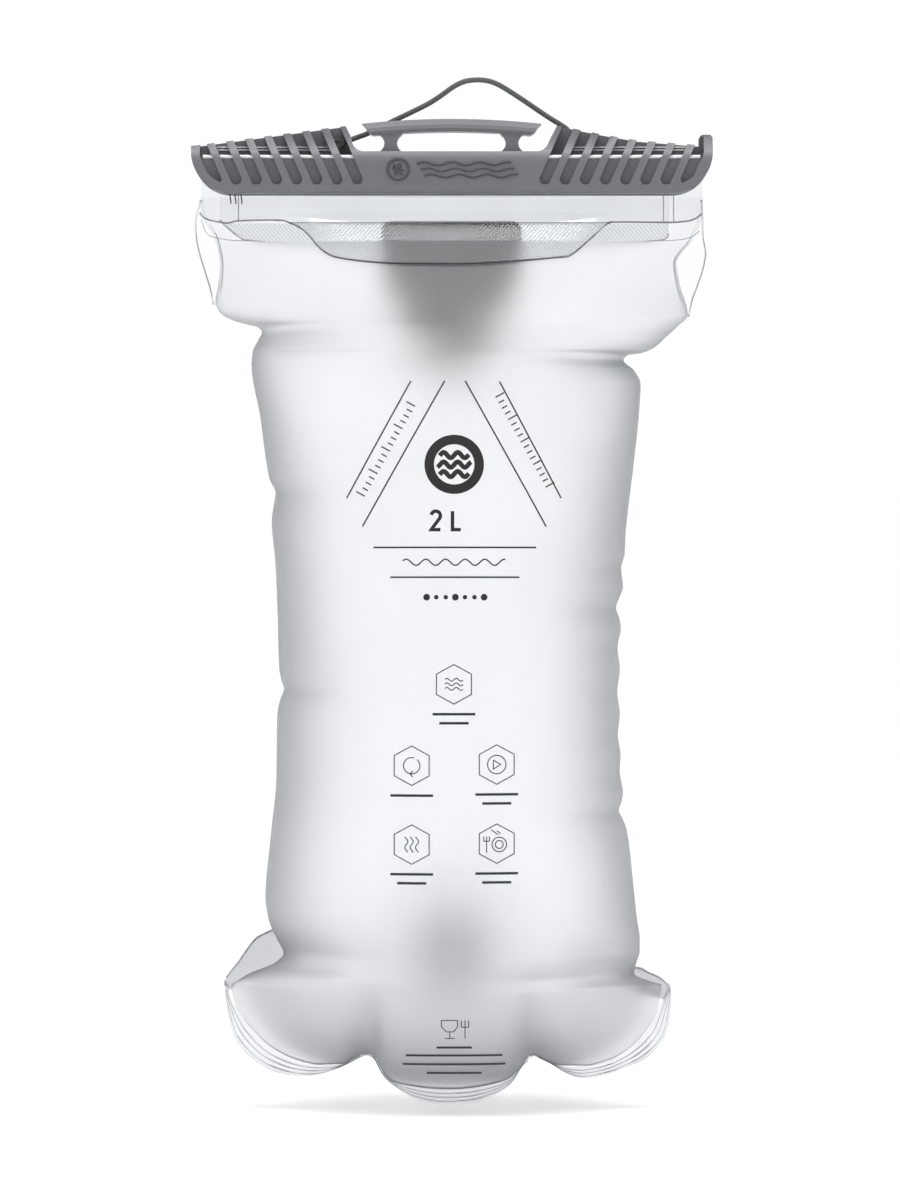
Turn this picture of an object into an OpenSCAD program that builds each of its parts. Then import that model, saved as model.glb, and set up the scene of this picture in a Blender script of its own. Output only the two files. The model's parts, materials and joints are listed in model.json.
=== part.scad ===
// Hydration bladder: a welded film reservoir closed by a slide-on top bar.
// Inside every module X runs across the bag, Y towards its back and Z up.
// Heights are counted from the slide bar's lower edge; place() moves them to the hanging point.

/* [Slide bar] */
// Length of the slide bar
bar_l = 190; // [170:1:210]
// Depth of the slide bar, front to back
bar_d = 15; // [14:0.5:18]
// Height of the bar's middle stretch
bar_h = 15.4; // [15:0.1:18]
// Height of the wedges at the open end
wedge_low = 17.4; // [16.5:0.1:19]
// Height of the wedges beside the grip
wedge_high = 24.8; // [22:0.1:28]
// Height of the end stop
stop_h = 21.6; // [20:0.1:26]

/* [Slots] */
// Number of slots on each side
slot_n = 8; // [4:1:8]
// Distance from slot to slot
slot_pitch = 7.33; // [7:0.01:7.6]
// Width of a slot along the bar
slot_w = 4.4; // [3:0.1:4.8]
// Lean of the slots from upright, in degrees
slot_lean = 23.5; // [10:0.5:30]

/* [Grip] */
// Radius of the grip's arched top
grip_r = 303; // [250:1:400]
// Height of the grip's top at its middle
grip_top = 27.5; // [26:0.1:32]
// Thickness of the grip
grip_t = 4.7; // [4:0.1:6]
// Depth of the grip, front to back
grip_d = 9.2; // [7:0.1:10]
// Half the grip's length at its top
grip_half = 33; // [30:0.5:36]

/* [Rails] */
// Half the length of the rails
rail_half = 90.5; // [85:0.5:91]
// Top of the rails above the bar's lower edge
rail_top = 12.6; // [11:0.1:12.6]

/* [Bag] */
// Half the thickness of the filled bag
bag_half = 49; // [35:1:55]
// Wall of the bag as a solid
film_t = 0.8; // [0.6:0.1:1.5]
// Width of the welded hem
hem_w = 6; // [4:0.5:8]

/* [Port] */
// Bore of the tube socket
port_bore = 9.6; // [8:0.1:11]
// Height of the port's centre, from the bar's lower edge
port_z = -276; // [-280:1:-262]
// Distance of the port's face behind the hem
port_y = 29.5; // [27:0.5:32]
// Tilt of the port below level, in degrees
port_tilt = 24; // [15:1:30]

/* [Cord] */
// Diameter of the hanging cord
cord_d = 1.7; // [1.2:0.1:2.4]

/* [Hidden] */

// hanging point, as seen from the bar's middle and lower edge
hang_x = 9;
hang_z = 41;

wall_t = 1.8;
ceiling = 14.4;
film_gap = 3.2;
end_wall = 3;
rear_block_y = 2.2;
slot_floor = 3.1;
stripe_z = 13.7;
bar_half = bar_l / 2;
end_rx = 14.8;
end_rz = 15.5;
rim_w = 3.2;
bar_grey = "#77747a";
dark_grey = "#4b4a4f";
clear_film = "#e4e8ec";

// the cord's route: left stop, out through the wedge, behind the grip, over the hook, right stop
cord_route = [[-40.2, 0, 18.8], [-38, 0.9, 19.7], [-35.8, 1.8, 20.6], [-33.8, 3.8, 21.5], [-31.2, 5.6, 22.6],
    [-27, 6.3, 24.6], [-22, 6.3, 27.2], [-15, 5.8, 30.5], [-8, 4.7, 33.9], [-3, 3.2, 37.1], [1, 1.7, 39.9], [5, 0.5, 41.6],
    [9, 0, 41.9], [13, 0.2, 41.7], [17, 1.3, 40.3], [21, 2.7, 38], [26, 4.2, 34.9], [31, 5.4, 31.6],
    [36, 6.1, 28.3], [40, 6, 25.9], [42.4, 5.4, 23.9], [43, 5, 21.5], [43, 5, 18.5]];

// half outline of the filled bag: height, left edge, right edge
bag_edge = [[12, -90, 90], [-6, -91, 91], [-20, -86, 87], [-44, -85, 85], [-52, -74, 72], [-66, -72, 69],
    [-100, -68, 66], [-150, -64, 61], [-200, -64, 61], [-255, -68, 66], [-285, -73, 73], [-400, -73, 73]];
bag_rows = [12, 6, 0, -6, -8, -11, -15, -20, -26, -32, -38, -44, -48, -52, -58, -66, -76, -88, -100, -114,
    -128, -142, -156, -170, -184, -198, -212, -226, -238, -249, -259, -268, -277, -285];
bag_top = -6;
lower_rows = 6;
// how soon the wall swells out below the top band and above the hem
top_rise = 58;
hem_rise = 42;
bag_cols = 26;
// hem lobes: middle across, middle height, radius
lobes = [[-54.5, -293.5, 28], [-1, -297.2, 34.8], [53, -294, 28]];
// height of the valleys between the lobes' inner borders
valley_z = -305;

function mix(a, b, t) = a + (b - a) * t;
function clamp01(t) = max(0, min(1, t));
function smooth(a, b, x) = let(t = clamp01((x - a) / (b - a))) t * t * (3 - 2 * t);
function arc(cx, cz, rx, rz, a, b, n) =
    [for (i = [0 : n]) let(t = mix(a, b, i / n)) [cx + rx * cos(t), cz + rz * sin(t)]];
// straight-line reading of column k in a table whose first column falls
function read_at(table, z, k, i = 0) =
    i >= len(table) - 1 ? table[len(table) - 1][k]
    : z >= table[i + 1][0]
        ? mix(table[i][k], table[i + 1][k], clamp01((table[i][0] - z) / (table[i][0] - table[i + 1][0])))
        : read_at(table, z, k, i + 1);
// height of the hem's inner border under a point: the lowest of the three lobes
function lobe_floor(x, lobe) =
    let(r = lobe[2] - hem_w, dx = x - lobe[0])
    abs(dx) < r ? lobe[1] - sqrt(r * r - dx * dx) : valley_z;
function hem_floor(x) = min(valley_z, min([for (lobe = lobes) lobe_floor(x, lobe)]));
function tanh(x) = (exp(2 * x) - 1) / (exp(2 * x) + 1);
// distance of the filled wall from the middle plane, across = -1 to 1 from edge to edge:
// it rises from the top band, stays nearly level and closes on the hem
function swell(across, x, z) =
    let(below = max(0, bag_top - z), above = max(0, z - hem_floor(x)))
    bag_half * tanh(below / top_rise) * tanh(above / hem_rise) * sqrt(max(0, 1 - across * across));
function port_radius(x, z) = norm([x, (z - port_z) / cos(port_tilt)]);
// the rear wall lies flat around the port
function rear_swell(across, x, z) =
    mix(port_y + (z - port_z) * tan(port_tilt), swell(across, x, z), smooth(25, 40, port_radius(x, z)));
function wall_at(side, across, x, z) = side < 0 ? swell(across, x, z) : rear_swell(across, x, z);
function across_at(x, z) =
    let(l = read_at(bag_edge, z, 1), r = read_at(bag_edge, z, 2)) (2 * x - l - r) / (r - l);

module place() {
    translate([-hang_x, 0, -hang_z])
        children();
}

// carries a part from the port's own axis, +Z out of the socket, to the bag's back
module at_port() {
    translate([0, port_y, port_z])
        rotate([-90 - port_tilt, 0, 0])
            rotate([0, 0, 180])
                children();
}

// a flat outline in X and Z, given thickness from one depth to another
module plate(y0, y1) {
    translate([0, y1, 0])
        rotate([90, 0, 0])
            linear_extrude(y1 - y0)
                children();
}

// a solid between two point grids of the same size, the near one first
module slab(near, far) {
    rows = len(near);
    cols = len(near[0]);
    half = rows * cols;
    grid = [for (r = [0 : rows - 2]) for (c = [0 : cols - 2]) [r * cols + c, r * cols + c + 1,
        (r + 1) * cols + c + 1, (r + 1) * cols + c]];
    edge = concat([for (c = [0 : cols - 1]) c], [for (r = [1 : rows - 1]) r * cols + cols - 1],
        [for (c = [cols - 2 : -1 : 0]) (rows - 1) * cols + c], [for (r = [rows - 2 : -1 : 1]) r * cols]);
    near_faces = [for (q = grid) each [[q[0], q[1], q[2]], [q[0], q[2], q[3]]]];
    far_faces = [for (f = near_faces) [f[0] + half, f[2] + half, f[1] + half]];
    side_faces = [for (i = [0 : len(edge) - 1])
        let(a = edge[i], b = edge[(i + 1) % len(edge)]) each [[a, a + half, b + half], [a, b + half, b]]];
    polyhedron(points = [for (layer = [near, far]) for (row = layer) each row],
        faces = concat(near_faces, far_faces, side_faces), convexity = 8);
}

// a layer on the bag's wall: lift is its distance from the wall's middle plane or swell
module wall_layer(grid, side, lift, thick) {
    function point(g, d) = [g[0], side * (wall_at(side, across_at(g[0], g[1]), g[0], g[1]) + d), g[1]];
    near = [for (row = grid) [for (g = row) point(g, side < 0 ? lift + thick : lift)]];
    far = [for (row = grid) [for (g = row) point(g, side < 0 ? lift : lift + thick)]];
    slab(near, far);
}

module rod(p, q, r) {
    v = q - p;
    translate(p)
        rotate([0, acos(v[2] / norm(v)), atan2(v[1], v[0])])
            cylinder(h = norm(v), r = r, $fn = 32);
}

// ---- slide bar ----

module bar_outline(inset = 0) {
    left = -bar_half + 0.2 + inset;
    right = bar_half - inset;
    rx = end_rx - inset;
    rz = end_rz - inset;
    polygon(concat(
        [[left, wedge_low], [left, end_rz]],
        arc(left + rx, end_rz, rx, rz, 180, 270, 14),
        arc(right - rx, end_rz, rx, rz, 270, 360, 14),
        [[right, stop_h - 1], [right - 0.8, stop_h], [right - 4.2 + inset, stop_h],
            [right - 4.8 + inset, stop_h - 1], [right - 4.8 + inset, 17.7], [67.8, 19.5], [54, 21.9],
            [40, wedge_high], [38.3, wedge_high]],
        [[35.6, 19.6]], arc(31, 19.9, 4.4, 4.5, -12, -90, 7),
        arc(-32, 19.9, 4.4, 4.5, -90, -168, 7), [[-36.4, 20.3], [-38.6, wedge_high], [-41, wedge_high - 0.2]]));
}

// the bar across its length: upright below, falling back towards the top
module bar_section() {
    h = bar_d / 2;
    polygon(concat(
        arc(-h + 1, 1, 1, 1, 270, 180, 4),
        arc(-h + 9, 10.5, 9, 9, 180, 142, 6),
        [[-3.4, 21], [-2.2, 27], [3.5, 27], [5.6, 22]],
        arc(h - 9, 12.5, 9, 9, 38, 0, 6),
        arc(h - 1, 1, 1, 1, 0, -90, 4)));
}

module slot_shape(x) {
    shift = tan(slot_lean);
    r = slot_w * cos(slot_lean) / 2;
    z0 = slot_floor + r;
    mid = x + slot_w / 2 + (stripe_z - z0) * shift;
    top = 30;
    polygon([[x + (stripe_z - z0) * shift, z0], [x + slot_w + (stripe_z - z0) * shift, z0],
        [x + slot_w + (stripe_z - top) * shift, top], [x + (stripe_z - top) * shift, top]]);
    translate([mid, z0])
        circle(r = r, $fn = 32);
}

module slots() {
    intersection() {
        union() {
            for (i = [0 : slot_n - 1]) {
                slot_shape(-bar_half + 3.4 + i * slot_pitch);
                mirror([1, 0])
                    slot_shape(-bar_half + 3.8 + i * slot_pitch);
            }
        }
        union() {
            bar_outline(rim_w);
            translate([-bar_half + 0.2 + rim_w, 12])
                square([2 * bar_half - 0.2 - 5.2 - rim_w, 20]);
        }
    }
}

module grip_posts() {
    for (x = [-22.2, 22])
        plate(-3.4, 3.4)
            difference() {
                translate([x - 4.2, bar_h - 0.4])
                    square([8.4, 8.2]);
                for (s = [-1, 1])
                    translate([x + s * 5.9, 18.6])
                        circle(r = 3.6, $fn = 40);
            }
}

module cord_holes() {
    rod([-40.2, 0, 18.8], [-31.6, 3.55, 22.35], cord_d / 2 + 0.35);
    translate([43, 5, 14])
        cylinder(h = 14, r = cord_d / 2 + 0.35, $fn = 32);
    translate([43, 5, ceiling - 1])
        cylinder(h = 6.2, r = 2.4, $fn = 32);
    translate([42.4, 5.4, 23])
        sphere(r = 1.6, $fn = 24);
}

module slide_bar() {
    color(bar_grey) {
        difference() {
            intersection() {
                plate(-bar_d / 2, bar_d / 2)
                    bar_outline();
                rotate([90, 0, 90])
                    translate([0, 0, -bar_half - 1])
                        linear_extrude(bar_l + 2)
                            bar_section();
            }
            translate([-bar_half - 1, -bar_d / 2 + wall_t, wall_t])
                cube([bar_l + 1 - end_wall, bar_d - 2 * wall_t, ceiling - wall_t]);
            translate([-bar_half - 1, -film_gap / 2, -1])
                cube([bar_l + 1 - end_wall, film_gap, wall_t + 2]);
            plate(-bar_d, rear_block_y)
                slots();
            plate(bar_d / 2 - 0.8, bar_d)
                slots();
            cord_holes();
        }
        for (x = [-86, 42])
            for (z = [16.2, 17.2])
                translate([x, rear_block_y - 0.45, z])
                    cube([44, 0.5, 0.4]);
        difference() {
            grip_posts();
            grip_arch();
        }
    }
}

module grip_arch() {
    translate([0, 0, grip_top - grip_r])
        rotate([0, 90, 90])
            rotate([0, 0, 180 - 8])
                rotate_extrude(angle = 16, $fn = 720)
                    translate([grip_r - grip_t, 0])
                        polygon([[0, -grip_d / 2 + 1.6], [1.2, -grip_d / 2], [2.6, -grip_d / 2],
                            [grip_t, -grip_d / 2 + 2.6], [grip_t, grip_d / 2 - 1.2],
                            [grip_t - 1.2, grip_d / 2], [1, grip_d / 2], [0, grip_d / 2 - 1]]);
}

module handle_grip() {
    end = 5.6;
    cord_relief_r = 2.8;
    color("#837d86")
        difference() {
            intersection() {
                grip_arch();
                plate(-grip_d, grip_d)
                    polygon(concat([[-grip_half, grip_top + 1], [-grip_half, grip_top - 1.6]],
                        arc(-grip_half + end, grip_top - 2.2, 4, 4, 200, 270, 6),
                        arc(grip_half - end, grip_top - 2.2, 4, 4, 270, 340, 6),
                        [[grip_half, grip_top - 1.6], [grip_half, grip_top + 1]]));
            }
            translate([-grip_half, grip_d / 2, grip_top - 9])
                cylinder(h = 11, r = cord_relief_r, $fn = 48);
        }
}

// ---- hanging cord ----

module hang_cord() {
    sides = 8;
    n = len(cord_route);
    function heading(i) =
        let(v = cord_route[min(n - 1, i + 1)] - cord_route[max(0, i - 1)]) v / norm(v);
    rings = [for (i = [0 : n - 1])
        let(t = heading(i), u = cross([0, 1, 0], t) / norm(cross([0, 1, 0], t)), w = cross(t, u))
        [for (k = [0 : sides - 1]) let(a = 360 * k / sides)
            cord_route[i] + cord_d / 2 * (cos(a) * u + sin(a) * w)]];
    color("#55585a")
        polyhedron(points = [for (ring = rings) each ring],
            faces = concat([[for (k = [0 : sides - 1]) k]],
                [[for (k = [sides - 1 : -1 : 0]) (n - 1) * sides + k]],
                [for (i = [0 : n - 2]) for (k = [0 : sides - 1])
                    let(a = i * sides + k, b = i * sides + (k + 1) % sides)
                    each [[a, a + sides, b + sides], [a, b + sides, b]]]));
}

module cord_stop_left() {
    color(dark_grey)
        translate(cord_route[0])
            sphere(r = 1.95, $fn = 32);
}

module cord_stop_right() {
    color(dark_grey)
        translate([43, 5, ceiling + 0.4])
            cylinder(h = 4, r = 2.2, $fn = 32);
}

// ---- rails and seal beads ----

module rail(side) {
    depth = bar_d / 2 - wall_t - 0.25;
    y0 = side < 0 ? -depth : 0.6;
    plate(y0, y0 + depth - 0.6)
        polygon(concat([[-rail_half, rail_top]], arc(-rail_half + 11, 13, 11, 10.8, 192, 270, 7),
            arc(rail_half - 11, 13, 11, 10.8, 270, 348, 7), [[rail_half, rail_top]]));
}

module seal_bead(side) {
    r = 0.75;
    y = side < 0 ? -4.6 : 0.7;
    translate([-rail_half, y, rail_top + 0.08])
        cube([2 * rail_half, 3.9, 1.45]);
    translate([-rail_half, side < 0 ? -4.6 : 4.6, rail_top + 0.08 + r])
        rotate([0, 90, 0])
            cylinder(h = 2 * rail_half, r = r - 0.03, $fn = 24);
}

module front_rail() {
    color(dark_grey)
        rail(-1);
}

module rear_rail() {
    color(dark_grey)
        rail(1);
}

module front_seal_bead() {
    color("white")
        seal_bead(-1);
}

module rear_seal_bead() {
    color("white")
        seal_bead(1);
}

// ---- films, strips and welds ----

function film_row(z, c) =
    let(l = read_at(bag_edge, z, 1), r = read_at(bag_edge, z, 2))
    mix(l, r, (1 - cos(180 * c / bag_cols)) / 2);
function film_grid() = concat(
    [for (z = bag_rows) [for (c = [0 : bag_cols]) [film_row(z, c), z]]],
    [for (k = [1 : lower_rows]) [for (c = [0 : bag_cols])
        let(last = bag_rows[len(bag_rows) - 1], x = film_row(last, c))
        [x, mix(last, hem_floor(x), k / lower_rows)]]]);

module film(side) {
    grid = film_grid();
    function depth(g) = wall_at(side, across_at(g[0], g[1]), g[0], g[1]);
    thick = 0.5;
    thin = 0.1;
    outer = [for (row = grid) [for (g = row) [g[0], side * (depth(g) + thick), g[1]]]];
    inner = [for (row = grid) [for (g = row)
        [g[0], side * (max(0, depth(g) + thick - thin - film_t) * 0.995 + thin), g[1]]]];
    if (side < 0)
        slab(outer, inner);
    else
        slab(inner, outer);
}

module front_film() {
    color(clear_film)
        film(-1);
}

module rear_film() {
    color(clear_film)
        difference() {
            film(1);
            at_port()
                translate([0, 0, -6])
                    cylinder(h = 12, r = 12.2, $fn = 64);
        }
}

// lower edge of the front strip: level at the sides, a deep belly in the middle
function belly(x) = mix(-9.6, -26, smooth(62, 44, abs(x)));
function strip_grid(x0, x1, n, rows) =
    [for (k = [0 : rows]) [for (i = [0 : n]) let(x = mix(x0, x1, i / n)) [x, mix(-0.8, belly(x), k / rows)]]];
function band_grid(x0, x1, n, z0, z1, rows) =
    [for (k = [0 : rows]) [for (i = [0 : n]) [mix(x0, x1, i / n), mix(z0, z1, k / rows)]]];

module front_seal_strip() {
    color("#cfd4da")
        wall_layer(strip_grid(-89, 89, 44, 6), -1, 0.62, 0.5);
}

module rear_seal_strip() {
    color("#cfd4da")
        wall_layer(band_grid(-82, 78, 32, -0.8, -18.6, 4), 1, 0.62, 0.5);
}

module shoulder_weld(side) {
    edge = side < 0 ? 1 : 2;
    inner = [for (z = [-8, -20, -32, -44]) [read_at(bag_edge, z, edge) - side * 0.5, z]];
    outer = side < 0 ? [[-87.5, -44], [-89, -36], [-92.2, -22], [-93.5, -14], [-92.6, -8]]
        : [[86.8, -46], [89.5, -36], [92, -24], [93, -14], [92.4, -8]];
    plate(-0.45, 0.45)
        polygon(concat(inner, outer));
}

module left_shoulder_weld() {
    color("#f2f4f6")
        shoulder_weld(-1);
}

module right_shoulder_weld() {
    color("#f2f4f6")
        shoulder_weld(1);
}

module lobe_discs(inset) {
    for (lobe = lobes)
        translate([lobe[0], lobe[1]])
            circle(r = lobe[2] - inset, $fn = 96);
}

module bottom_weld() {
    color("#f2f4f6")
        plate(-0.45, 0.45)
            difference() {
                lobe_discs(0);
                lobe_discs(hem_w + 0.2);
                translate([-72, -290])
                    square([144, 60]);
                translate([-100, -272])
                    square([200, 40]);
            }
}

// a tapered moulded tab on the back, gripped while the bag is being filled
module rear_fill_handle() {
    function half_at(z) = mix(25.5, 12, smooth(-24, -64, z));
    grid = [for (k = [0 : 14]) let(z = mix(-5, -62, k / 14))
        [for (i = [0 : 10]) [mix(-half_at(z), half_at(z), i / 10), z]]];
    color("#4a4b50")
        wall_layer(grid, 1, 1.5, 3);
}

// ---- port and its valve, drawn along the socket's own axis ----

bore_r = port_bore / 2;
neck_r = 12;
body_r = 8.2;
collar_r = 13;
collar_z = 4.1;
mouth_z = 13;
seat_z = 2;
groove_z = 3.6;
chamber_r = 6.4;
body_back = -9;

module ring(r_out, r_in, z0, z1) {
    translate([0, 0, z0])
        difference() {
            cylinder(h = z1 - z0, r = r_out, $fn = 96);
            translate([0, 0, -1])
                cylinder(h = z1 - z0 + 2, r = r_in, $fn = 96);
        }
}

module port_flange() {
    color("#8b8d93")
        at_port() {
            ring(20, body_r + 0.05, -2.4, -1);
            ring(neck_r, body_r + 0.05, -1, collar_z - 0.1);
        }
}

module port_body() {
    color(dark_grey)
        at_port()
            difference() {
                union() {
                    translate([0, 0, body_back])
                        cylinder(h = collar_z - body_back, r = body_r, $fn = 96);
                    translate([0, 0, collar_z])
                        cylinder(h = mouth_z - collar_z, r = collar_r, $fn = 96);
                }
                translate([0, 0, body_back - 1])
                    cylinder(h = seat_z - body_back + 1, r = chamber_r, $fn = 96);
                translate([0, 0, seat_z - 1])
                    cylinder(h = groove_z, r = 3.6, $fn = 96);
                translate([0, 0, groove_z + 1])
                    cylinder(h = mouth_z, r = bore_r, $fn = 96);
                // groove of the sealing ring
                translate([0, 0, groove_z])
                    cylinder(h = 2.2, r = bore_r + 1.3, $fn = 96);
                // slot and pocket of the release button
                translate([-6.2, -10.4, 8])
                    cube([12.4, 30, 1.6]);
                translate([-6, 11.6, 5.3])
                    cube([12, 10, 7]);
                // pocket of the button's spring
                translate([0, -11.8, 8.8])
                    rotate([-90, 0, 0])
                        cylinder(h = 4, r = 1.5, $fn = 32);
            }
}

module port_oring() {
    color("#22242a")
        at_port()
            translate([0, 0, groove_z + 1.1])
                rotate_extrude($fn = 96)
                    translate([bore_r + 0.72, 0])
                        circle(r = 0.55, $fn = 24);
}

module valve_cage() {
    color("#9ea1a7")
        at_port()
            difference() {
                translate([0, 0, body_back + 0.2])
                    cylinder(h = 1.4, r = chamber_r - 0.02, $fn = 96);
                for (a = [0 : 60 : 300])
                    rotate([0, 0, a])
                        translate([4.3, 0, body_back - 1])
                            cylinder(h = 4, r = 1.2, $fn = 24);
            }
}

module valve_poppet() {
    color("#c9ccd1")
        at_port() {
            translate([0, 0, 0.1])
                cylinder(h = 1, r = 5.8, $fn = 64);
            translate([0, 0, 1.1])
                cylinder(h = 4.3, r = 2.2, $fn = 48);
            translate([0, 0, -2.2])
                cylinder(h = 2.3, r = 2.2, $fn = 48);
        }
}

module poppet_seal() {
    color("#22242a")
        at_port()
            ring(5.6, 2.25, 1.12, 1.92);
}

// a round wire wound along a screw line
module spring(r, wire, z0, z1, turns) {
    steps = 12;
    sides = 6;
    n = turns * steps;
    rings = [for (i = [0 : n])
        let(a = 360 * i / steps, z = mix(z0 + wire, z1 - wire, i / n), out = [cos(a), sin(a), 0])
        [for (k = [0 : sides - 1]) let(b = 360 * k / sides)
            [0, 0, z] + r * out + wire * (cos(b) * out + sin(b) * [0, 0, 1])]];
    polyhedron(points = [for (ring = rings) each ring],
        faces = concat([[for (k = [sides - 1 : -1 : 0]) k]], [[for (k = [0 : sides - 1]) n * sides + k]],
            [for (i = [0 : n - 1]) for (k = [0 : sides - 1])
                let(a = i * sides + k, b = i * sides + (k + 1) % sides)
                each [[a, b + sides, a + sides], [a, b, b + sides]]]));
}

module valve_spring() {
    color("silver")
        at_port()
            spring(2.9, 0.3, body_back + 1.7, 0, 5);
}

module release_button() {
    color("#8f7f6e")
        at_port()
            difference() {
                union() {
                    translate([-6, -8, 8.1])
                        cube([12, 17, 1.4]);
                    translate([-4, 8.9, 8.1])
                        cube([8, 5, 1.4]);
                    translate([-5.6, 13.4, 5.6])
                        cube([11.2, 2, 6.4]);
                }
                translate([0, 0.5, 7])
                    cylinder(h = 4, r = 5.45, $fn = 64);
            }
}

module button_spring() {
    color("silver")
        at_port()
            translate([0, -11.7, 8.8])
                rotate([-90, 0, 0])
                    spring(1, 0.2, 0, 3.6, 3);
}

place() slide_bar();
place() handle_grip();
place() hang_cord();
place() cord_stop_left();
place() cord_stop_right();
place() front_film();
place() rear_film();
place() front_seal_strip();
place() rear_seal_strip();
place() front_rail();
place() rear_rail();
place() front_seal_bead();
place() rear_seal_bead();
place() left_shoulder_weld();
place() right_shoulder_weld();
place() bottom_weld();
place() rear_fill_handle();
place() port_flange();
place() port_body();
place() port_oring();
place() valve_cage();
place() valve_poppet();
place() poppet_seal();
place() valve_spring();
place() release_button();
place() button_spring();
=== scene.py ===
"""Hydration bladder: blown-up frosted film bag under a grey slide-on bar, with cord, rear tab and port."""
import json
import math

import bmesh
import bpy
import numpy as np
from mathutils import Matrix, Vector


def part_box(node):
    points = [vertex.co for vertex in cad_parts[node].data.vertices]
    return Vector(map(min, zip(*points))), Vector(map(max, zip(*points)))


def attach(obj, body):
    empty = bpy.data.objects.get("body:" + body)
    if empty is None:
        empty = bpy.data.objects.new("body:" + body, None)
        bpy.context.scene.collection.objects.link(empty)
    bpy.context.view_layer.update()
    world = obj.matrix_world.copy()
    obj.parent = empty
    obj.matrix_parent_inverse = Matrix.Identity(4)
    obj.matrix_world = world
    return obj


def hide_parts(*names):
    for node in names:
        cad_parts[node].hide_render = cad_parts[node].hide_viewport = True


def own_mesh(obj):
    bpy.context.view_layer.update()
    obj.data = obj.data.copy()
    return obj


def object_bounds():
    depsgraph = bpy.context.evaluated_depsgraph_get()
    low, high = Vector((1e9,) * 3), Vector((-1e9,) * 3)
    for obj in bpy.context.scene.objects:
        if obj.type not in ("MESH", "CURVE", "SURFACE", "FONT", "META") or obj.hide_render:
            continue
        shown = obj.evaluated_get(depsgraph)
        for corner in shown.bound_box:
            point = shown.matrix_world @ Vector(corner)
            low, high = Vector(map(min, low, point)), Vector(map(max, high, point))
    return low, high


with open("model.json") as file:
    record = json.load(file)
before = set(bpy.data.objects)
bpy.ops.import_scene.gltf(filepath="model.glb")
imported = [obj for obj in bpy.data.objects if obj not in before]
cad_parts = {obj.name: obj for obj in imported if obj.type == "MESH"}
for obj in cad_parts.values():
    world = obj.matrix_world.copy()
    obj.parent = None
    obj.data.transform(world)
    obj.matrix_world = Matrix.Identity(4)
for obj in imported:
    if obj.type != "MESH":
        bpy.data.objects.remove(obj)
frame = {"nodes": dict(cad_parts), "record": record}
cad_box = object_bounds()

MM = 0.001
NODES = frame["nodes"]


# ---------------------------------------------------------------- places taken from the frame

BAR_LOW, BAR_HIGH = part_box("slide_bar")
BAR_X = (BAR_LOW.x + BAR_HIGH.x) / 2 / MM
BAR_Z = BAR_LOW.z / MM
SOCKET = next(m for m in frame["record"]["mounts"] if m["name"] == "tube_socket")

# sizes in millimetres, counted across from the bar's middle and up from its lower edge
BAG_TOP = -6.0
FULL_HALF = 56.0
TOP_RISE = 75.0
HEM_RISE = 42.0
HEM_LOW = -327.0
FILM_T = 0.30
HATCH_TOP = -10.4
CORNER_Z = -288.0
PORT_TILT = math.atan2(-SOCKET["axis"][2], SOCKET["axis"][1])
PORT_BACK = 11.0
PORT_CENTRE = np.array(SOCKET["pos_m"]) / MM - PORT_BACK * np.array(SOCKET["axis"])
PORT_Y = PORT_CENTRE[1]
PORT_Z = PORT_CENTRE[2] - BAR_Z
NECK_R = 12.0


def to_frame(x, y, z):
    """Millimetres from the bar's middle and lower edge to metres in the row frame, as an (n, 3) array."""
    x, y, z = np.broadcast_arrays(np.asarray(x, float), np.asarray(y, float), np.asarray(z, float))
    return np.stack([x.ravel() + BAR_X, y.ravel(), z.ravel() + BAR_Z], 1) * MM


# ---------------------------------------------------------------- small curve tools

def smooth(a, b, x):
    """Smooth step from 0 at a to 1 at b."""
    t = np.clip((np.asarray(x, float) - a) / (b - a), 0, 1)
    return t * t * (3 - 2 * t)


def bell(x, width):
    """A bell of height 1 and the given half width."""
    return np.exp(-(np.asarray(x, float) / width) ** 2)


def steady_curve(knots, values, at):
    """Monotone cubic through the knots: it never swings past its neighbours."""
    x = np.asarray(knots, float)
    y = np.asarray(values, float)
    h = np.diff(x)
    slope = np.diff(y) / h
    m = np.zeros_like(y)
    same = slope[:-1] * slope[1:] > 0
    w1 = 2 * h[1:] + h[:-1]
    w2 = h[1:] + 2 * h[:-1]
    with np.errstate(divide="ignore", invalid="ignore"):
        inner = (w1 + w2) / (w1 / slope[:-1] + w2 / slope[1:])
    m[1:-1] = np.where(same, inner, 0)
    m[0] = slope[0]
    m[-1] = slope[-1]
    at = np.clip(np.asarray(at, float), x[0], x[-1])
    i = np.clip(np.searchsorted(x, at, side="right") - 1, 0, len(x) - 2)
    t = (at - x[i]) / h[i]
    return (y[i] * (1 + 2 * t) * (1 - t) ** 2 + m[i] * h[i] * t * (1 - t) ** 2
            + y[i + 1] * t * t * (3 - 2 * t) + m[i + 1] * h[i] * t * t * (t - 1))


def even_path(points, n):
    """A smooth open path through the points (Catmull-Rom), cut into n steps of equal length."""
    p = np.asarray(points, float)
    p = np.vstack([2 * p[0] - p[1], p, 2 * p[-1] - p[-2]])
    t = np.linspace(0, 1, 24, endpoint=False)[:, None]
    parts = []
    for a, b, c, d in zip(p[:-3], p[1:-2], p[2:-1], p[3:]):
        parts.append(0.5 * (2 * b + (c - a) * t + (2 * a - 5 * b + 4 * c - d) * t ** 2
                            + (3 * b - a - 3 * c + d) * t ** 3))
    fine = np.vstack(parts + [p[-2:-1]])
    run = np.concatenate([[0], np.cumsum(np.linalg.norm(np.diff(fine, axis=0), axis=1))])
    at = np.linspace(0, run[-1], n + 1)
    return np.stack([np.interp(at, run, fine[:, k]) for k in range(p.shape[1])], 1)


# ---------------------------------------------------------------- mesh makers

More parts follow.
